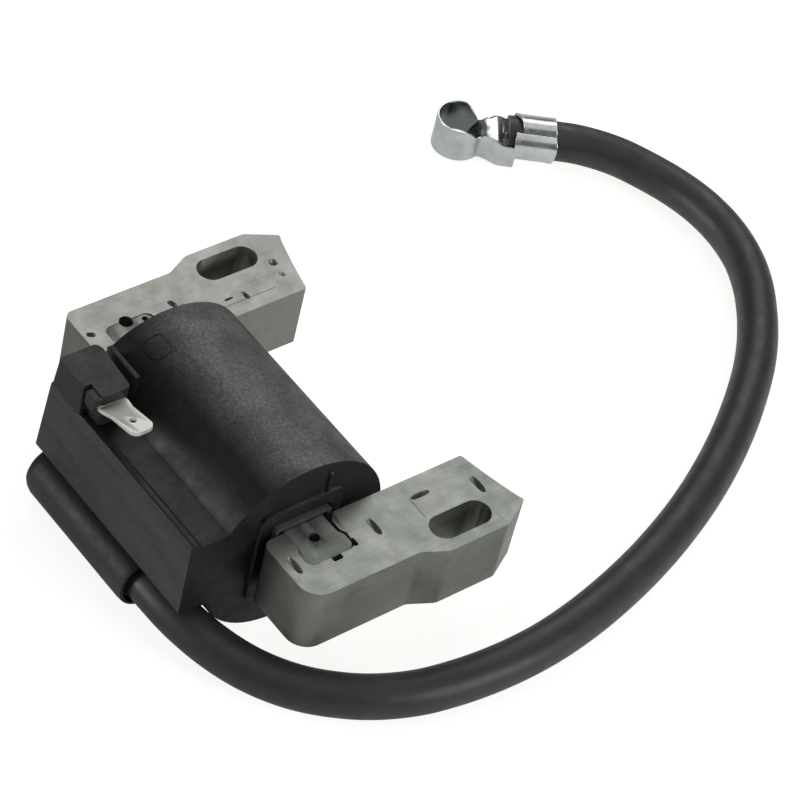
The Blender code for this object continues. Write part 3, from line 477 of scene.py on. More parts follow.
def plastic(name, dark, light, rough=(0.42, 0.6), grain=2600, scuff=0.35, dust_and_highlight=0.0, highlight_band=None, gloss=0.4):
    """Moulded black plastic: cloudy flow marks, fine grain, faint scuffs; optionally a painted highlight band, mottled
    like dust, on upward faces and a painted sheen on faces looking -Y.
    """
    m = Mat(name)
    cloud = m.noise(140, 5, 0.6, dist=0.4)
    fine = m.noise(900, 6, 0.65)
    base = m.ramp(cloud, [(0.32, dark), (0.68, light)])
    speck = m.range(fine, 0.52, 0.75, 0.0, 0.5)
    base = m.mix(speck, base, tuple(min(1, c * 1.9) for c in light[:3]) + (1,))
    # long faint scratches
    sc = m.noise(1.0, 2, 0.5, m.mapped((60, 900, 900), (0.2, 0.1, 0.5)))
    line = m.range(sc, 0.66, 0.72, 0.0, scuff)
    base = m.mix(line, base, tuple(min(1, c * 2.6) for c in light[:3]) + (1,))
    if dust_and_highlight:
        # painted highlight: upward faces near the band centre mixed towards pale grey, in mottled patches and flecks
        up = m.range(m.normal_z()[2], 0.15, 1.0, 0.0, 1.0)
        patch = m.range(m.noise(70, 4, 0.6, dist=0.8), 0.36, 0.62, 0.3, 1.0)
        if highlight_band:
            y = m.xyz()[1]
            near = m.range(m.math('ABSOLUTE', m.math('ADD', y, -highlight_band[0])), highlight_band[1] * 0.35, highlight_band[1], 1.0, 0.0)
            patch = m.math('MULTIPLY', patch, near)
        fleck = m.range(m.noise(1900, 5, 0.75), 0.4, 0.68, 0.35, 1.0)
        base = m.mix(m.math('MULTIPLY', m.math('MULTIPLY', up, patch), m.math('MULTIPLY', fleck, dust_and_highlight)),
                     base, rgb(142, 142, 142))
        out = m.range(m.normal_z()[1], -0.8, -0.98, 0.0, 0.42)      # painted sheen: faces looking -Y drawn paler, in mottled patches
        sheen_mottle = m.range(m.noise(1.0, 4, 0.6, m.mapped((45, 200, 260)), 0.5), 0.3, 0.7, 0.45, 1.0)
        base = m.mix(m.math('MULTIPLY', out, sheen_mottle), base, rgb(108, 109, 105))
    m.color(base)
    m.rough(m.range(m.noise(420, 5, 0.6), 0.3, 0.7, rough[0], rough[1]))
    n1 = m.bump(m.noise(260, 3, 0.5), 0.00025, 0.35)
    m.bump(m.noise(grain, 4, 0.6), 0.00006, 0.6, n1)
    m.b.inputs["Specular IOR Level"].default_value = gloss
    return m.m


def steel(name, base, dark, rough=(0.34, 0.5), metal=0.85, sheets=True):
    """Satin electrical steel: rolled grain along the leg, cloudy oxide, thin
    sheet edges showing on the sides."""
    m = Mat(name, metal=metal)
    cloud = m.noise(70, 5, 0.55, dist=0.6)
    grain = m.noise(1.0, 4, 0.6, m.mapped((2600, 160, 2600)))
    c = m.ramp(cloud, [(0.25, dark), (0.7, base)])
    c = m.mix(m.range(grain, 0.35, 0.75, 0.0, 0.35), c, tuple(min(1, v * 1.25) for v in base[:3]) + (1,))
    pit = m.range(m.voronoi(420), 0.0, 0.16, 0.4, 0.0)
    c = m.mix(pit, c, tuple(v * 0.55 for v in dark[:3]) + (1,))
    m.color(c)
    r = m.range(m.noise(300, 5, 0.6), 0.3, 0.7, rough[0], rough[1])
    m.rough(r)
    n1 = m.bump(grain, 0.00003, 0.5)
    n2 = m.bump(m.noise(520, 4, 0.6), 0.00006, 0.3, n1)
    if sheets:
        z = m.xyz()[2]
        saw = m.math('PINGPONG', z, 0.000325)
        edge = m.range(saw, 0.0, 0.00006, 0.0, 1.0)
        m.bump(edge, 0.00005, 0.35, n2)
    return m.m


def rubber(name, base, light, rough=(0.38, 0.55)):
    m = Mat(name)
    c = m.ramp(m.noise(210, 5, 0.6), [(0.3, base), (0.72, light)])
    dust_and_highlight = m.range(m.noise(1500, 5, 0.7), 0.62, 0.8, 0.0, 0.5)
    c = m.mix(dust_and_highlight, c, tuple(min(1, v * 2.4) for v in light[:3]) + (1,))
    m.color(c)
    m.rough(m.range(m.noise(330, 5, 0.6), 0.3, 0.7, rough[0], rough[1]))
    n1 = m.bump(m.noise(380, 3, 0.5), 0.00012, 0.3)
    m.bump(m.noise(3200, 4, 0.6), 0.00004, 0.55, n1)
    return m.m


def plated(name, base, dark, rough=(0.16, 0.3), metal=1.0, socket_shade=None):
    """Bright plated or tinned sheet with fine drawn lines and faint stains."""
    m = Mat(name, metal=metal)
    c = m.ramp(m.noise(260, 5, 0.6), [(0.28, dark), (0.66, base)])
    lines = m.noise(1.0, 3, 0.6, m.mapped((4200, 300, 4200), (0, 0, EH)))
    c = m.mix(m.range(lines, 0.4, 0.75, 0.0, 0.25), c, tuple(v * 0.8 for v in dark[:3]) + (1,))
    if socket_shade:                       # painted shade inside the socket ring
        p = m.xyz()
        dx, dy = m.math('ADD', p[0], -socket_shade[0]), m.math('ADD', p[1], -socket_shade[1])
        d = m.math('SQRT', m.math('ADD', m.math('MULTIPLY', dx, dx), m.math('MULTIPLY', dy, dy)))
        c = m.mix(m.range(d, socket_shade[2] * 0.94, socket_shade[2], 1.0, 0.0), c, rgb(134, 140, 142))
    m.color(c)
    m.rough(m.range(m.noise(500, 5, 0.6), 0.3, 0.7, rough[0], rough[1]))
    n1 = m.bump(lines, 0.00002, 0.35)
    m.bump(m.noise(700, 3, 0.5), 0.00005, 0.25, n1)
    return m.m


def winding(name, base, dark, pitch, axis=0):
    """Turns of enamelled wire: round-topped ridges along the coil's axis."""
    m = Mat(name, metal=0.6)
    x = m.xyz()[axis]
    saw = m.math('PINGPONG', x, pitch / 2)
    hump = m.math('POWER', m.range(saw, 0.0, pitch / 2, 0.0, 1.0), 0.5)
    # colour darkens in the grooves between turns: painted shade
    m.color(m.mix(m.range(hump, 0.0, 0.6, 1.0, 0.0), m.ramp(m.noise(300, 4), [(0.3, dark), (0.7, base)]),
                  tuple(v * 0.35 for v in dark[:3]) + (1,)))
    m.rough(m.range(m.noise(600, 4), 0.3, 0.7, 0.28, 0.45))
    m.bump(hump, pitch * 0.4, 0.8)
    return m.m


# the case gets a mottled painted highlight band along the cylinder top, centred 1.6 mm towards -Y, and a paler painted
# sheen on its -Y side
M_CASE = plastic("case_nylon", rgb(20, 20, 19), rgb(32, 31, 29), (0.36, 0.52), 2600, 0.16, 0.8, (-0.0016, 0.0108), 0.27)
M_HOLD = plastic("holder_nylon", rgb(38, 39, 37), rgb(49, 50, 47), (0.45, 0.62), 3000, 0.12)
M_BOB = plastic("bobbin_nylon", rgb(52, 52, 50), rgb(76, 76, 72), (0.4, 0.6), 2600, 0.3)
M_STEEL_N = steel("leg_near_steel", rgb(150, 153, 147), rgb(124, 128, 122))
M_STEEL_F = steel("leg_far_steel", rgb(152, 153, 147), rgb(130, 132, 126))
M_BAR = steel("core_bar_steel", rgb(128, 132, 126), rgb(100, 104, 99))
M_LEAD = rubber("lead_rubber", rgb(44, 43, 41), rgb(56, 55, 52))
M_SEAL = rubber("seal_rubber", rgb(40, 40, 38), rgb(58, 57, 54), (0.5, 0.7))
# the last argument centres the painted shade inside the clip's socket ring
M_CLIP = plated("clip_plating", rgb(226, 230, 230), rgb(188, 193, 195), (0.2, 0.36), 1.0,
                ((EX + 8.5 * math.cos(EH)) * MM, (EY + 8.5 * math.sin(EH)) * MM, 4.15 * MM))
M_TAB = plated("tab_tinning", rgb(248, 247, 240), rgb(238, 236, 228), (0.34, 0.46), 0.45)
M_STRAND = plated("strand_tinning", rgb(196, 186, 170), rgb(150, 138, 120), (0.3, 0.45))
M_RESIN = Mat("potting_resin", 0.3)
M_RESIN.color(M_RESIN.ramp(M_RESIN.noise(240, 5, 0.6), [(0.3, rgb(20, 20, 20)), (0.7, rgb(38, 37, 36))]))
M_RESIN.rough(M_RESIN.range(M_RESIN.noise(160, 4), 0.3, 0.7, 0.18, 0.4))
_n = M_RESIN.bump(M_RESIN.noise(120, 3, 0.5), 0.0006, 0.5)
M_RESIN.bump(M_RESIN.range(M_RESIN.voronoi(700), 0.0, 0.12, 0.0, 1.0), 0.0002, 0.5, _n)


# ------------------------------------------------------------------- lead
def lead_curve(name, pts, r, mat, res=10, bev=10):
    cu = bpy.data.curves.new(name, 'CURVE')
    cu.dimensions = '3D'
    cu.bevel_depth = r * MM
    cu.bevel_resolution = bev
    cu.use_fill_caps = True
    cu.resolution_u = res
    sp = cu.splines.new('BEZIER')
    sp.bezier_points.add(len(pts) - 1)
    for i, (bp, co) in enumerate(zip(sp.bezier_points, pts)):
        v = Vector(co[:3])
        a = Vector(pts[max(i - 1, 0)][:3])
        b = Vector(pts[min(i + 1, len(pts) - 1)][:3])
        t = (b - a)
        t = t.normalized() * ((v - a).length if i else (b - v).length) / 3
        bp.co = v * MM
        bp.handle_left_type = bp.handle_right_type = 'FREE'
        bp.handle_left = (v - t) * MM
        bp.handle_right = (v + t) * MM
    cu.materials.append(mat)
    o = bpy.data.objects.new(name, cu)
    scn.collection.objects.link(o)
    return o


lead = lead_curve("lead_jacket", ROUTE, LEAD_R, M_LEAD)
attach(lead, "root")
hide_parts("ht_lead")


# -------------------------------------------------------------- lead's clip
BAR_A0, BAR_A1 = -8.4, -1.6
HEAD_A, HEAD_R = 8.5, 4.35
BAR_IN = LEAD_R + 0.07
NECK_B = 2.1
WALL_LO, WALL_HI = -3.95, 2.4
SEAM_AT = math.radians(52)


def sheet_mesh(name, rows, thickness):
    """Sheet from rows of points (clip frame, millimetres), given its
    thickness, edges softened."""
    bm = bmesh.new()
    vs = [[bm.verts.new(CLIP @ (Vector(p) * MM)) for p in row] for row in rows]
    for r0, r1 in zip(vs, vs[1:]):
        for i in range(len(r0) - 1):
            bm.faces.new((r0[i], r0[i + 1], r1[i + 1], r1[i]))
    bmesh.ops.recalc_face_normals(bm, faces=bm.faces)
    me = bpy.data.meshes.new(name)
    bm.to_mesh(me)
    bm.free()
    o = obj(name, me)
    so = o.modifiers.new("sheet", 'SOLIDIFY')
    so.thickness = thickness * MM
    so.offset = 0
    be = o.modifiers.new("edge", 'BEVEL')
    be.width = thickness * 0.3 * MM
    be.segments = 3
    be.limit_method = 'ANGLE'
    be.angle_limit = math.radians(50)
    return baked(o)


def crimp_rows():
    """B-crimp: both wings of the barrel roll over the lead and meet in a
    groove, each wing with its own end line."""
    rows = []
    mid = BAR_IN + SHEET / 2
    n_len = 14
    for i in range(n_len + 1):
        f = i / n_len
        bell = 0.12 * (abs(2 * f - 1) ** 5)
        row = []
        n = 72
        for k in range(n + 1):
            # angle from the seam, going round
            u = -math.pi + 2 * math.pi * k / n
            away = math.pi - abs(u)                       # 0 at the seam
            dip = 0.42 * math.exp(-(away / math.radians(9)) ** 2)
            swell = 0.22 * math.exp(-((away - math.radians(30)) / math.radians(17)) ** 2)
            r = mid + bell - dip + swell
            ang = SEAM_AT + math.pi + u * (1 - 0.006)
            # the wing on the far side of the seam starts further back
            side = 1 if u > 0 else -1
            edge = 1.3 * (1 - blend01(away / math.radians(75))) if side < 0 else 0.0
            a1 = BAR_A1 + 0.5 - edge
            a0 = BAR_A0 - 0.25 * math.sin(away * 2.0) * (1 if side > 0 else -1)
            a = a0 + (a1 - a0) * f
            row.append((a, r * math.cos(ang), r * math.sin(ang)))
        rows.append(row)
    return rows


def wall_line(n=26):
    pts = []
    r = HEAD_R - SHEET / 2
    b0 = BAR_IN + SHEET / 2
    a_neck = HEAD_A - 3.9
    for k in range(5):
        pts.append((-1.7 + 2.3 * k / 4, b0))
    for k in range(1, n + 1):
        t = k / n
        pts.append((0.6 + (a_neck - 0.6) * t, b0 + (NECK_B - b0) * blend01(t)))
    start = math.atan2(NECK_B + 0.25, -(r * r - (NECK_B + 0.25) ** 2) ** 0.5)
    m_ = 32
    for k in range(0, m_ + 1):
        ang = start * (1 - k / m_)
        pts.append((HEAD_A + r * math.cos(ang), r * math.sin(ang)))
    return pts


def rim_at(a):
    """Height of the strip's upper edge: low by the lead, a dip at the neck,
    high round the socket."""
    return (0.5 + 0.9 * blend01((a - 0.0) / 3.0) - 0.9 * math.exp(-((a - 5.2) / 1.1) ** 2)
            + 1.4 * blend01((a - 4.8) / 3.4))


def channel_rows():
    line = wall_line()
    full = line + [(a, -b) for a, b in reversed(line[:-1])]
    rows = []
    nv = 8
    for j in range(nv + 1):
        f = j / nv
        row = []
        for (a, b) in full:
            lo = WALL_LO + 0.2 * blend01((a - HEAD_A + 4.2) / 2.0)
            pinch = 1 - 0.05 * math.sin(f * math.pi) * math.exp(-((a - HEAD_A) / 4.0) ** 2)
            row.append((a, b * pinch, lo + (rim_at(a) - lo) * f))
        rows.append(row)
    return rows


def saddle_rows():
    """Saddle across the neck: from just past the lead's end, over the neck
    and down into the ring, its sides curling up to the walls."""
    prof = fillet([(0.95, 0.62, 0), (1.9, 1.0, 0.9), (3.9, 0.95, 1.0), (5.2, 0.1, 1.4), (6.1, -1.6, 1.4),
                   (6.9, -3.4, 0)], 7)
    line = wall_line()

    def half(a):
        best = BAR_IN
        for (x0, b0), (x1, b1) in zip(line, line[1:]):
            if x0 <= a <= x1 and a < HEAD_A - 3.2:
                return b0 + (b1 - b0) * (a - x0) / max(x1 - x0, 1e-6)
        return 2.3 if a > HEAD_A - 4 else best

    rows = []
    for (a, z) in prof:
        w = min(half(a), 2.6 if a > 4 else 9.0) - SHEET * 0.55
        up = blend01((a - 2.9) / 1.2)
        row = []
        for k in range(13):
            t = -1 + k / 6
            row.append((a, w * t, z - up * 0.45 * (1 - t * t) + 0.1 * up))
        rows.append(row)
    return rows


crimp = sheet_mesh("clip_barrel", crimp_rows(), SHEET)
chan = sheet_mesh("clip_channel", channel_rows(), SHEET * 0.9)
flo = sheet_mesh("clip_saddle", saddle_rows(), SHEET * 0.8)
clip = piece("clip_sheet", joined("clip_sheet", [crimp, chan, flo]), M_CLIP, "plug_clip", (), 40)

rnd = random.Random(4)
strands = []
for k in range(7):
    ang = 2 * math.pi * k / 6
    off = 0.0 if k == 6 else 0.36
    y0, z0 = off * math.cos(ang), off * math.sin(ang)
    sp = rnd.uniform(0.7, 1.2)
    pts = [(-0.6, y0, z0), (0.2, y0, z0 - 0.1), (0.8, y0 * 1.2, z0 - 0.55), (1.3, y0 * 1.8 * sp, z0 - 1.1),
           (1.8, y0 * 2.4 * sp, z0 * 0.6 - 1.8), (2.0 + 0.2 * sp, y0 * 2.6 * sp, z0 * 0.3 - 2.8)]
    pts = [tuple((CLIP @ (Vector(p) * MM)) / MM) for p in pts]
    strands.append(baked(lead_curve("strand_%d" % k, pts, 0.17, M_STRAND, 6, 3)))
strand = piece("conductor_strands", joined("conductor_strands", strands), M_STRAND, "lead_strands")


# ------------------------------------------------------- lamination legs
HEAD_END, NECK = 27.2, 3.6


def tongue(grow=0.0):
    g, h = grow, CORE_W / 2 + grow
    return [(23.4 - g * 0.4, COIL_Y + NECK + g, 0.6), (24.4 - g * 0.4, COIL_Y + h, 0.6),
            (HEAD_END + g, COIL_Y + h, 1.3), (HEAD_END + g, COIL_Y - h, 1.3),
            (24.4 - g * 0.4, COIL_Y - h, 0.6), (23.4 - g * 0.4, COIL_Y - NECK - g, 0.6)]


def leg_outline(back_r):
    cy = POLE_IN_Y + math.sqrt(FLYWHEEL_R ** 2 - LEG_INNER_X ** 2)
    pts = [(LEG_INNER_X, LEG_BACK_Y, 1.6), (LEG_OUTER_X, LEG_BACK_Y, back_r),
           (LEG_OUTER_X, LEG_STEP_Y0, 2.5), (LEG_WIDE_X, LEG_STEP_Y1, 2.5),
           (LEG_WIDE_X, POLE_SHOULDER_Y, 2.0), (POLE_TIP[0], POLE_TIP[1], 0.8)]
    n = 14
    for k in range(1, n):
        x = POLE_TIP[0] + (LEG_INNER_X - POLE_TIP[0]) * k / n
        pts.append((x, cy - math.sqrt(FLYWHEEL_R ** 2 - x * x), 0.0))
    pts.append((LEG_INNER_X, POLE_IN_Y, 0.5))
    pts.append((LEG_INNER_X, COIL_Y + 5.3, 0.3))
    # pressed joint: open on its +Y side, closed to a hairline elsewhere
    pts.append((LEG_INNER_X + 1.3, COIL_Y + NECK + 0.5, 0.3))
    pts += [(x, y + (0.42 if y > COIL_Y + NECK - 0.5 and x < 26.5 else 0.06 if y > COIL_Y else 0.0), r)
            for x, y, r in tongue(0.07)]
    pts.append((LEG_INNER_X, COIL_Y - NECK - 0.07, 0.0))
    return fillet(pts, 8)


def mirror_x(pts):
    return [(-a, b) for a, b in reversed(pts)]


def slot_outline(cx, w=SLOT_W, l=SLOT_L, n=24):
    r, s = w / 2, l / 2 - w / 2
    return (arc_pts(cx, SLOT_Y + s, r, 0, math.pi, n) + arc_pts(cx, SLOT_Y - s, r, math.pi, 2 * math.pi, n))


def vee_mesh(x, y, l, w, deg, deep):
    """Interlock pocket: lens-shaped in plan, its floor sloping to the middle."""
    bm = bmesh.new()
    rings, n = 9, 40
    prev = None
    for i in range(rings + 1):
        f = i / rings                      # 0 at the rim, 1 at the deepest line
        ring = []
        for k in range(n):
            t = 2 * math.pi * k / n
            c, q = math.cos(t), math.sin(t)
            a = l / 2 * math.copysign(abs(c) ** 0.9, c) * (1 - 0.86 * f)
            b = w / 2 * math.copysign(abs(q) ** 0.8, q) * (1 - 0.55 * f)
            z = -deep * (1 - (1 - f) ** 1.3)
            ring.append(bm.verts.new((a * MM, b * MM, z * MM)))
        if prev:
            for k in range(n):
                bm.faces.new((prev[k], prev[(k + 1) % n], ring[(k + 1) % n], ring[k]))
        else:
            top = [bm.verts.new((v.co.x * 1.04, v.co.y * 1.04, 0.3 * MM)) for v in ring]
            for k in range(n):
                bm.faces.new((top[k], top[(k + 1) % n], ring[(k + 1) % n], ring[k]))
            bm.faces.new(top)
        prev = ring
    bm.faces.new(prev)
    bmesh.ops.recalc_face_normals(bm, faces=bm.faces)
    me = bpy.data.meshes.new("vee")
    bm.to_mesh(me)
    bm.free()
    me.transform(Matrix.Translation((x * MM, y * MM, LEG_TOP * MM)) @ Matrix.Rotation(math.radians(deg), 4, 'Z'))
    return me


def leg_piece(tag, sx, mat, cuts):
    outer, hole = leg_outline(3.6 if sx > 0 else 1.4), slot_outline(SLOT_PITCH / 2)
    if sx < 0:
        outer, hole = mirror_x(outer), mirror_x(hole)
    me = slab_mesh("leg_" + tag, [outer, hole], LEG_TOP - LEG_T, LEG_TOP)
    me = bevelled(me, 0.38, 4, 60)
    me = combined("leg_" + tag, me, [(c, 'DIFFERENCE') for c in cuts])
    return piece("leg_%s_body" % tag, me, mat, "leg_" + tag, (), 28)


near_cuts = [vee_mesh(25.9, -11.35, 3.6, 1.2, 0, 1.0), vee_mesh(25.4, 3.85, 3.6, 1.2, 0, 1.0),
             vee_mesh(23.6, 13.95, 3.6, 1.0, 90, 1.0), vee_mesh(26.1, 23.3, 3.6, 1.2, 0, 1.0),
             slab_mesh("slot_a", [round_rect(27.7, -4.75, 1.0, 1.8, 0.3)], LEG_TOP - LEG_T - 1, LEG_TOP + 1),
             slab_mesh("slot_b", [round_rect(26.4, -0.75, 1.6, 0.9, 0.3)], LEG_TOP - LEG_T - 1, LEG_TOP + 1),
             box_mesh("scribe", 23.7, 27.6, 11.87, 11.98, LEG_TOP - 0.07, LEG_TOP + 1)]
far_cuts = [vee_mesh(-27.1, -11.8, 1.5, 1.0, 60, 0.9), vee_mesh(-26.9, 3.35, 1.8, 1.1, 20, 0.9),
            vee_mesh(-23.8, 12.0, 1.7, 0.5, 90, 0.6), vee_mesh(-23.3, 14.9, 1.9, 0.9, 10, 0.9),
            vee_mesh(-27.3, 23.2, 1.5, 1.4, 0, 0.9), vee_mesh(-24.5, 23.0, 1.1, 0.9, 0, 0.4),
            slab_mesh("rivet_hole", [circle(-27.03, -5.33, 1.15, 48)], LEG_TOP - LEG_T - 1, LEG_TOP + 1),
            box_mesh("scribe", -22.62, -22.5, 9.6, 20.2, LEG_TOP - 0.07, LEG_TOP + 1)]
leg_near = leg_piece("near", 1, M_STEEL_N, near_cuts)
leg_far = leg_piece("far", -1, M_STEEL_F, far_cuts)

right = [(LEG_INNER_X, COIL_Y + NECK, 0.3)] + tongue() + [(LEG_INNER_X, COIL_Y - NECK, 0.3)]
bar_half = [(TUBE_X - 0.9, COIL_Y + CORE_W / 2, 0.3)] + right + [(TUBE_X - 0.9, COIL_Y - CORE_W / 2, 0.3)]
bar_corners = bar_half + [(-a, b, r) for a, b, r in reversed(bar_half)]
FAR_HOLE = (-27.03, -5.33, 1.15)
bite = math.acos((-HEAD_END - FAR_HOLE[0]) / FAR_HOLE[2])
k_end = next(i for i, c in enumerate(bar_corners) if abs(c[0] + HEAD_END) < 1e-6)
bar_corners[k_end + 1:k_end + 1] = [(a, b, 0.0) for a, b in
                                    arc_pts(FAR_HOLE[0], FAR_HOLE[1], FAR_HOLE[2], -bite, bite, 36)]
bar = slab_mesh("core", [fillet(bar_corners, 8), circle(22.8, COIL_Y - 0.2, 0.9, 40),
                         circle(-26.25, -2.3, 0.5, 28)], LEG_TOP - LEG_T + 0.1, LEG_TOP - 0.06)
bar = bevelled(bar, 0.1, 2, 60)
piece("core_bar_body", bar, M_BAR, "core_bar", (), 28)


# ------------------------------------------------------------- moulded case
def case_outline(r, left, bottom, top, corner, lip=None, n=144, dy=0.0):
    za, zb = top - COIL_Z, bottom - COIL_Z
    a_top = math.pi - math.asin(za / r)
    a_bot = math.pi - math.asin(zb / r)
    start, end = a_top, a_bot - 2 * math.pi
    pts = [(COIL_Y + dy + r * math.cos(start + (end - start) * k / n),
            COIL_Z + r * math.sin(start + (end - start) * k / n), 0.0) for k in range(n + 1)]
    pts.append((left, bottom, corner))
    if lip:
        pts.append((left, lip[0], 0.4))
        pts.append((left + lip[1], lip[0], 0.3))
        pts.append((left + lip[1] + 0.9, top, 0.3))
    else:
        pts.append((left, top, corner))
    return fillet(pts, 7)


END_ROUND = 5.0
ROUNDING = ((0, 3.0), (30, 3.0), (50, 2.4), (84, 0.8), (198, 0.8), (220, 5.0), (285, 5.0), (330, 3.0), (360, 3.0))


def end_round(ang):
    deg = math.degrees(ang) % 360
    for (d0, r0), (d1, r1) in zip(ROUNDING, ROUNDING[1:]):
        if d0 <= deg <= d1:
            return r0 + (r1 - r0) * (deg - d0) / (d1 - d0)
    return 0.8


def case_edge(va, vb):
    if abs(va.x - vb.x) >= 0.01:
        return 0.0
    mid = (va + vb) / 2
    if va.x < 0:
        return (0.3 if mid.y < -19.0 else 0.88) / END_ROUND
    return end_round(math.atan2(mid.z - COIL_Z, mid.y - COIL_Y)) / END_ROUND


LEAN = 0.09
case = slab_mesh("case", [case_outline(COIL_R, BOX_LEFT, BOX_BOTTOM, BOX_TOP, 1.0, (LIP_TOP, LIP_W), 144, 0.25)],
                 -COIL_X, COIL_X, "X")
_bm = bmesh.new()
_bm.from_mesh(case)
for sgn in (-1, 1):                        # one face over each end
    caps = [f for f in _bm.faces if f.normal.x * sgn > 0.9]
    bmesh.ops.dissolve_faces(_bm, faces=caps)
_bm.to_mesh(case)
_bm.free()
at = case.attributes.new("bevel_weight_edge", 'FLOAT', 'EDGE')
for e in case.edges:
    at.data[e.index].value = case_edge(*(case.vertices[i].co / MM for i in e.vertices))
for v in case.vertices:
    if v.co.x < 0:
        share = min(1.0, max(0.0, (-16.0 - v.co.y / MM) / 9.35))
        v.co.x -= LEAN * max(0.0, LIP_TOP * MM - v.co.z) * share
o_ = obj("case", case)
md = o_.modifiers.new("edge", 'BEVEL')
md.width = END_ROUND * MM
md.segments = 9
md.limit_method = 'WEIGHT'
case = baked(o_)
_bm = bmesh.new()
_bm.from_mesh(case)
for x_ in (-16.5, -14.0, -12.0, -6.4, -4.0, 0.0, 4.0, 8.0, 11.0):   # short faces keep the round shading even
    bmesh.ops.bisect_plane(_bm, geom=_bm.verts[:] + _bm.edges[:] + _bm.faces[:], dist=1e-7,
                           plane_co=(x_ * MM, 0, 0), plane_no=(1, 0, 0))
_bm.to_mesh(case)
_bm.free()
tower = lathe_mesh("outlet", [(0, TOWER_X0), (3.0, TOWER_X0), (3.8, TOWER_X0 + 0.15), (4.4, TOWER_X0 + 0.6),
                              (4.75, TOWER_X0 + 1.3), (TOWER_R, TOWER_X0 + 2.2), (TOWER_R, TOWER_X1 - 1.5),
                              (TOWER_R - 0.1, TOWER_X1 - 0.5), (TOWER_R - 0.18, TOWER_X1 - 0.15),
                              (TOWER_R - 0.3, TOWER_X1), (0, TOWER_X1)], TOWER_Y, TOWER_Z, 128)
web = bevelled(box_mesh("web", TOWER_X0 + 2.4, TOWER_X1 - 4.8, BOX_LEFT + 1.2, TOWER_Y + 5.0,
                        TOWER_Z + 1.0, BOX_BOTTOM + 0.6), 0.3, 3)
rib = bevelled(box_mesh("rib", -17.2, -9.7, -16.95, -15.85, BOX_TOP - 0.6, 31.3), 0.25, 3)
frame_pad = bevelled(slab_mesh("end_frame", [round_rect(COIL_Y, CORE_Z + 0.3, 15.0, 18.6, 1.2, 8)],
                               COIL_X - 0.5, COIL_X + 0.55, "X"), 0.16, 2, 60)
cavity = slab_mesh("hollow", [case_outline(BORE_R, BOX_LEFT + BOX_WALL, BOX_BOTTOM + BOX_WALL,
                                           BOX_TOP - BOX_WALL, 0.6, None, 96)],
                   -COIL_X - 2.0, COIL_X - END_WALL, "X")
window = slab_mesh("window", [round_rect(COIL_Y, CORE_Z, TUBE_W + 2 * GAP, TUBE_H + 2 * GAP, 0.9, 8)],
                   COIL_X - 4.0, COIL_X + 3.0, "X")
lead_hole = lathe_mesh("socket", [(0, -14.6), (1.25, -14.6), (1.25, TOWER_BORE_X - 0.4),
                                  (LEAD_R + GAP, TOWER_BORE_X - 0.4), (LEAD_R + GAP, 3.6),
                                  (SEAL_R + 0.2, 3.6), (SEAL_R + 0.2, TOWER_X1 + 2),
                                  (0, TOWER_X1 + 2)], TOWER_Y, TOWER_Z, 96)
end_rib = bevelled(box_mesh("end_rib", COIL_X - 0.5, COIL_X + 0.45, -1.0, -0.35, 25.2, 30.0), 0.15, 3)


def rolled_frame(x, deg, wx, wa, depth, line):
    """Thin rounded-square moulded line wrapped on the round case: x centre, angle
    round the axis, size along X, size round the case."""
    ob_in = slab_mesh("f", [round_rect(x, 0, wx, wa, wx * 0.28, 10),
                            round_rect(x, 0, wx - 2 * line, wa - 2 * line, wx * 0.28 - line, 10)], -depth, 0.06)
    bm = bmesh.new()
    bm.from_mesh(ob_in)
    for v in bm.verts:
        a = math.radians(deg) + v.co.y / (COIL_R * MM)
        r = COIL_R * MM + v.co.z
        v.co = Vector((v.co.x, COIL_Y * MM + r * math.cos(a), COIL_Z * MM + r * math.sin(a)))
    bmesh.ops.recalc_face_normals(bm, faces=bm.faces)
    bm.to_mesh(ob_in)
    bm.free()
    return ob_in


case = combined("case", case, [(tower, 'UNION'), (web, 'UNION'), (rib, 'UNION'), (frame_pad, 'UNION'),
                               (end_rib, 'UNION'), (cavity, 'DIFFERENCE'), (window, 'DIFFERENCE'),
                               (lead_hole, 'DIFFERENCE')])
case = joined("case", [case, rolled_frame(-13.4, 108.0, 4.4, 4.0, 0.1, 0.3)])
piece("case_body", case, M_CASE, "coil_case", (), 24)

# potting resin in the open end, a thin slab with softened edges
resin = slab_mesh("resin", [case_outline(BORE_R - GAP, BOX_LEFT + BOX_WALL + GAP, BOX_BOTTOM + BOX_WALL + GAP,
                                         BOX_TOP - BOX_WALL - GAP, 0.5, None, 96),
                            round_rect(COIL_Y, CORE_Z, TUBE_W + 2 * GAP, TUBE_H + 2 * GAP, 0.9, 8),
                            circle(-15.2, 20.4, 0.8, 32)], -17.9, -16.5, "X")
piece("resin_face", bevelled(resin, 0.2, 3, 60), M_RESIN.m, "potting_resin_face")

# --------------------------------------------------------- holder and tab
HOLD_X0, HOLD_X1, HOLD_Y0, HOLD_Y1 = -17.45, -7.7, -25.5, -18.5
HOLD_Z0, HOLD_Z1, TAB_TOP = LIP_TOP + 0.06, 32.6, 30.6
TAIL_X, TAIL_Y = -15.0, -22.3
TAIL_C = TAIL_Y + 0.85
holder = slab_mesh("holder", [fillet([(HOLD_X0, HOLD_Y0, 0.4), (-10.9, HOLD_Y0, 0.15), (-10.9, HOLD_Y0 + 1.3, 0.15),
                                      (HOLD_X1, HOLD_Y0 + 1.3, 0.6), (HOLD_X1, HOLD_Y1 - 0.7, 0.8),
                                      (HOLD_X0 + 1.2, HOLD_Y1, 0.5), (HOLD_X0, HOLD_Y1 - 0.5, 0.9)], 7)],
                   HOLD_Z0, HOLD_Z1)
for v in holder.vertices:
    if v.co.x < -16.0 * MM:
        v.co.x -= 0.13 * (HOLD_Z1 * MM - v.co.z)
holder = bevelled(holder, 0.3, 4, 50)
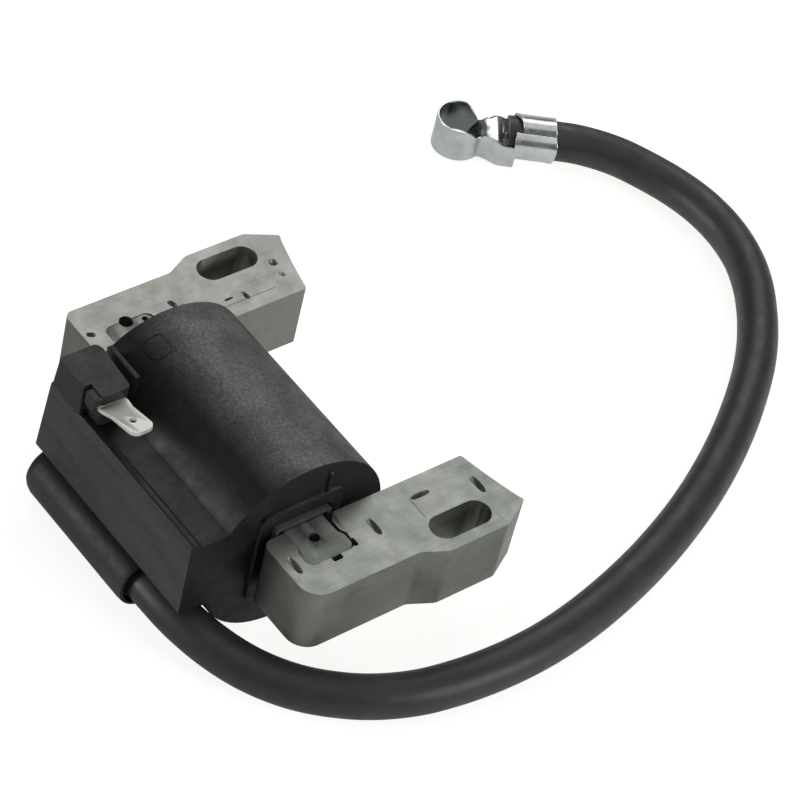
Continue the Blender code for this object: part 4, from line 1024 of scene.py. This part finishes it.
foot = box_mesh("foot", -16.9, -8.2, HOLD_Y0 + 2.4, HOLD_Y1 - 0.9, BOX_TOP + GAP, HOLD_Z0 + 0.6)
hook = slab_mesh("hook", [fillet([(-10.35, 29.4, 0.9), (-7.9, 29.4, 1.1), (-7.9, 32.3, 0.3), (-10.35, 32.3, 0.3)], 8)],
                 HOLD_Y0 + 0.15, HOLD_Y0 + 1.6, "Y")
hook = bevelled(hook, 0.2, 3, 60)
tab_slot = box_mesh("tab_slot", -16.4, HOLD_X1 + 1.0, TAIL_Y - 2.75, TAIL_Y + 2.75,
                    TAB_TOP - TERM_T - 0.1, TAB_TOP + 0.1)
tail_slot = box_mesh("tail_slot", TAIL_X - 0.8, TAIL_X + 0.8, TAIL_C - 1.15, TAIL_C + 1.15,
                     BOX_TOP - 2.0, TAB_TOP - 0.2)
holder = combined("holder", holder, [(foot, 'UNION'), (hook, 'UNION'), (tab_slot, 'DIFFERENCE'),
                                     (tail_slot, 'DIFFERENCE')])
piece("holder_body", holder, M_HOLD, "terminal_holder", (), 35)

TAB_L0 = -7.4
root = slab_mesh("root", [fillet([(-15.9, TAIL_Y - 2.4, 0.2), (TAB_L0, TAIL_Y - 2.4, 0.1),
                                  (TAB_L0, TAIL_Y + 2.4, 0.1), (-15.9, TAIL_Y + 2.4, 0.2)], 4)],
                 TAB_TOP - TERM_T, TAB_TOP)
bl = slab_mesh("blade", [fillet([(0, -2.4, 0.1), (0.7, -2.4, 0.6), (2.4, -2.0, 0.8), (8.1, -2.0, 1.3),
                                 (8.1, 2.0, 1.3), (2.4, 2.0, 0.8), (0.7, 2.4, 0.6), (0, 2.4, 0.1)], 10),
                         circle(5.1, 0, 0.62, 48)], -TERM_T, 0)
bl = bevelled(bl, 0.12, 3, 60)
bl.transform(Matrix.Translation(((TAB_L0 - 0.25) * MM, TAIL_Y * MM, TAB_TOP * MM))
             @ Matrix.Rotation(math.radians(11.0) * -1, 4, 'Y') @ Matrix.Rotation(math.radians(2.0), 4, 'Z'))
tail = box_mesh("tail", TAIL_X - 0.4, TAIL_X + 0.4, TAIL_C - 0.8, TAIL_C + 0.8, BOX_TOP - 3.0, TAB_TOP - 0.4)
tab = combined("tab", root, [(bl, 'UNION'), (tail, 'UNION')])
piece("tab_body", tab, M_TAB, "kill_terminal", (), 35)

# ------------------------------------------------- bobbin tube and end seal
W1 = (COIL_Y - 6.2, COIL_Z + 2.4)
W2 = (COIL_Y - 6.2, COIL_Z - 2.9)
prim = slab_mesh("tube", [round_rect(COIL_Y, CORE_Z, TUBE_W, TUBE_H, 0.6, 6),
                          round_rect(COIL_Y, CORE_Z, TUBE_W - 2 * TUBE_WALL, TUBE_H - 2 * TUBE_WALL, 0.2, 4)],
                 -TUBE_X, TUBE_X, "X")
prim = bevelled(prim, 0.12, 2, 60)
ops = [(slab_mesh("flange", [circle(COIL_Y, COIL_Z, 10.9, 96),
                             round_rect(COIL_Y, CORE_Z, TUBE_W - 0.5, TUBE_H - 0.5, 0.4, 4)], xa, xa + 0.8, "X"),
        'UNION') for xa in (-14.8, 14.0)]
ops += [(rod_mesh("notch", (-16.5, wy, wz), (-13.2, wy, wz), 0.62, 32), 'DIFFERENCE') for wy, wz in (W1, W2)]
piece("bobbin_tube", combined("tube", prim, ops), M_BOB, "primary_bobbin", (), 35)

seal = lathe_mesh("seal", [(LEAD_R + 0.06, 3.9), (SEAL_R, 3.9), (SEAL_R, TOWER_X1 - 1.3),
                           (SEAL_R - 0.08, TOWER_X1 - 1.05), (SEAL_R - 0.25, TOWER_X1 - 0.9),
                           (LEAD_R + 0.06, TOWER_X1 - 1.0)], TOWER_Y, TOWER_Z, 96)
piece("seal_body", seal, M_SEAL, "lead_seal", (), 35)


# ------------------------------------------- pieces kept as the frame has them
def simple(name, dark, base, rough, metal=0.0, scale=600, bump=0.00005):
    m_ = Mat(name, metal=metal)
    m_.color(m_.ramp(m_.noise(scale, 5, 0.6), [(0.3, dark), (0.7, base)]))
    m_.rough(m_.range(m_.noise(scale * 0.7, 4), 0.3, 0.7, rough[0], rough[1]))
    m_.bump(m_.noise(scale * 3, 4, 0.6), bump, 0.5)
    return m_.m


KEPT = {
    "primary_winding": winding("primary_enamel", rgb(184, 98, 48), rgb(140, 66, 30), 0.0006),
    "secondary_winding": winding("secondary_enamel", rgb(190, 120, 62), rgb(150, 84, 40), 0.00018),
    "insulation_sleeve": simple("sleeve_film", rgb(196, 160, 92), rgb(214, 182, 112), (0.3, 0.5), 0.0, 300),
    "secondary_bobbin": simple("secondary_pbt", rgb(206, 200, 180), rgb(222, 217, 199), (0.4, 0.6)),
    "module_board": simple("board_laminate", rgb(22, 82, 48), rgb(30, 102, 58), (0.3, 0.5), 0.0, 900),
    "power_switch": simple("switch_epoxy", rgb(30, 30, 31), rgb(44, 44, 45), (0.4, 0.6), 0.0, 1500),
    "driver_chip": simple("driver_epoxy", rgb(32, 32, 34), rgb(46, 46, 48), (0.4, 0.6), 0.0, 1500),
    "timing_capacitor": simple("capacitor_film", rgb(150, 60, 30), rgb(178, 80, 40), (0.25, 0.4), 0.0, 700),
    "bias_resistor": simple("resistor_body", rgb(150, 164, 172), rgb(178, 190, 196), (0.4, 0.6), 0.0, 1200),
    "clamp_diode": simple("diode_body", rgb(34, 34, 38), rgb(50, 50, 54), (0.2, 0.4), 0.0, 1200),
    "primary_start_wire": simple("start_copper", rgb(196, 116, 66), rgb(220, 140, 86), (0.25, 0.4), 1.0, 1500),
    "primary_end_wire": simple("end_copper", rgb(198, 118, 68), rgb(222, 142, 88), (0.25, 0.4), 1.0, 1500),
    "ground_wire": simple("ground_tinning", rgb(190, 188, 180), rgb(216, 214, 206), (0.25, 0.4), 1.0, 1500),
    "ht_link_wire": simple("link_copper", rgb(196, 118, 70), rgb(220, 142, 88), (0.25, 0.4), 1.0, 1500),
    "kill_link_wire": simple("kill_copper", rgb(192, 114, 66), rgb(216, 138, 84), (0.25, 0.4), 1.0, 1500),
    "ht_contact": simple("contact_brass", rgb(186, 152, 86), rgb(210, 176, 108), (0.25, 0.4), 1.0, 1200),
}
for name_, mat_ in KEPT.items():
    o_ = NODES[name_]
    o_.data.materials.clear()
    o_.data.materials.append(mat_)


# ------------------------------------------------------- floor and lighting
FLOOR_GLOW = (0.0, 0.62)
floor_me = bpy.data.meshes.new("floor")
bm = bmesh.new()
bmesh.ops.create_grid(bm, x_segments=2, y_segments=2, size=2.5)
bm.to_mesh(floor_me)
bm.free()
floor = obj("floor", floor_me)
M_FLOOR = Mat("floor_paper", 0.95)
_paper = M_FLOOR.ramp(M_FLOOR.noise(6, 3, 0.5), [(0.3, (0.33, 0.33, 0.325, 1)), (0.7, (0.35, 0.35, 0.345, 1))])
M_FLOOR.b.inputs["Specular IOR Level"].default_value = 0.0
M_FLOOR.b.inputs["Emission Color"].default_value = rgb(254, 255, 252)
_lp = M_FLOOR.nt.nodes.new("ShaderNodeLightPath")
_px = M_FLOOR.xyz()
_side = M_FLOOR.math('ADD', _px[0], _px[1])                # painted light: for non-camera rays the floor glows, more strongly towards +X +Y
_glow = M_FLOOR.range(_side, -0.08, 0.12, FLOOR_GLOW[0], FLOOR_GLOW[1])
_mixv = M_FLOOR.nt.nodes.new("ShaderNodeMix")
M_FLOOR.link(_lp.outputs["Is Camera Ray"], _mixv.inputs[0])
M_FLOOR.link(_glow, _mixv.inputs[2])
_mixv.inputs[3].default_value = 0.88
M_FLOOR.link(_mixv.outputs[0], M_FLOOR.b.inputs["Emission Strength"])
M_FLOOR.color(M_FLOOR.mix(_lp.outputs["Is Camera Ray"], (0.45, 0.45, 0.445, 1), _paper))
floor_me.materials.append(M_FLOOR.m)
floor.location = (0, 0, -0.0003)
floor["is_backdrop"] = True


def area(name, loc, target, size, power, size_y=None, color=(1, 1, 1)):
    li = bpy.data.lights.new(name, 'AREA')
    li.energy = power
    li.size = size
    if size_y:
        li.shape = 'RECTANGLE'
        li.size_y = size_y
    li.color = color
    o = bpy.data.objects.new(name, li)
    scn.collection.objects.link(o)
    o.location = loc
    o.rotation_euler = (Vector(target) - Vector(loc)).to_track_quat('-Z', 'Y').to_euler()
    o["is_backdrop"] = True
    return o


C0 = (0.0, 0.02, 0.015)
area("top", (0.05, 0.05, 0.8), C0, 0.9, 1.5)
area("left", (-0.5, -0.85, 0.2), C0, 0.5, 4.6)
area("back", (-0.45, 0.55, 0.62), C0, 0.55, 2.0)
area("rim", (0.85, 0.32, 0.42), C0, 0.35, 3.6)
world = bpy.data.worlds.new("world")
scn.world = world
world.use_nodes = True
world.node_tree.nodes["Background"].inputs[0].default_value = (1, 1, 1, 1)
world.node_tree.nodes["Background"].inputs[1].default_value = 0.11
scn.view_settings.view_transform = 'Standard'
scn.view_settings.look = 'None'


NOW_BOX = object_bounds()


def plain(v):
    if isinstance(v, dict):
        return {k: plain(x) for k, x in v.items()}
    if isinstance(v, (list, tuple, Vector)):
        return [plain(x) for x in v]
    return float(v) if isinstance(v, (int, float)) else v


{"cad": plain(CAD_BOX), "visual": plain(NOW_BOX)}
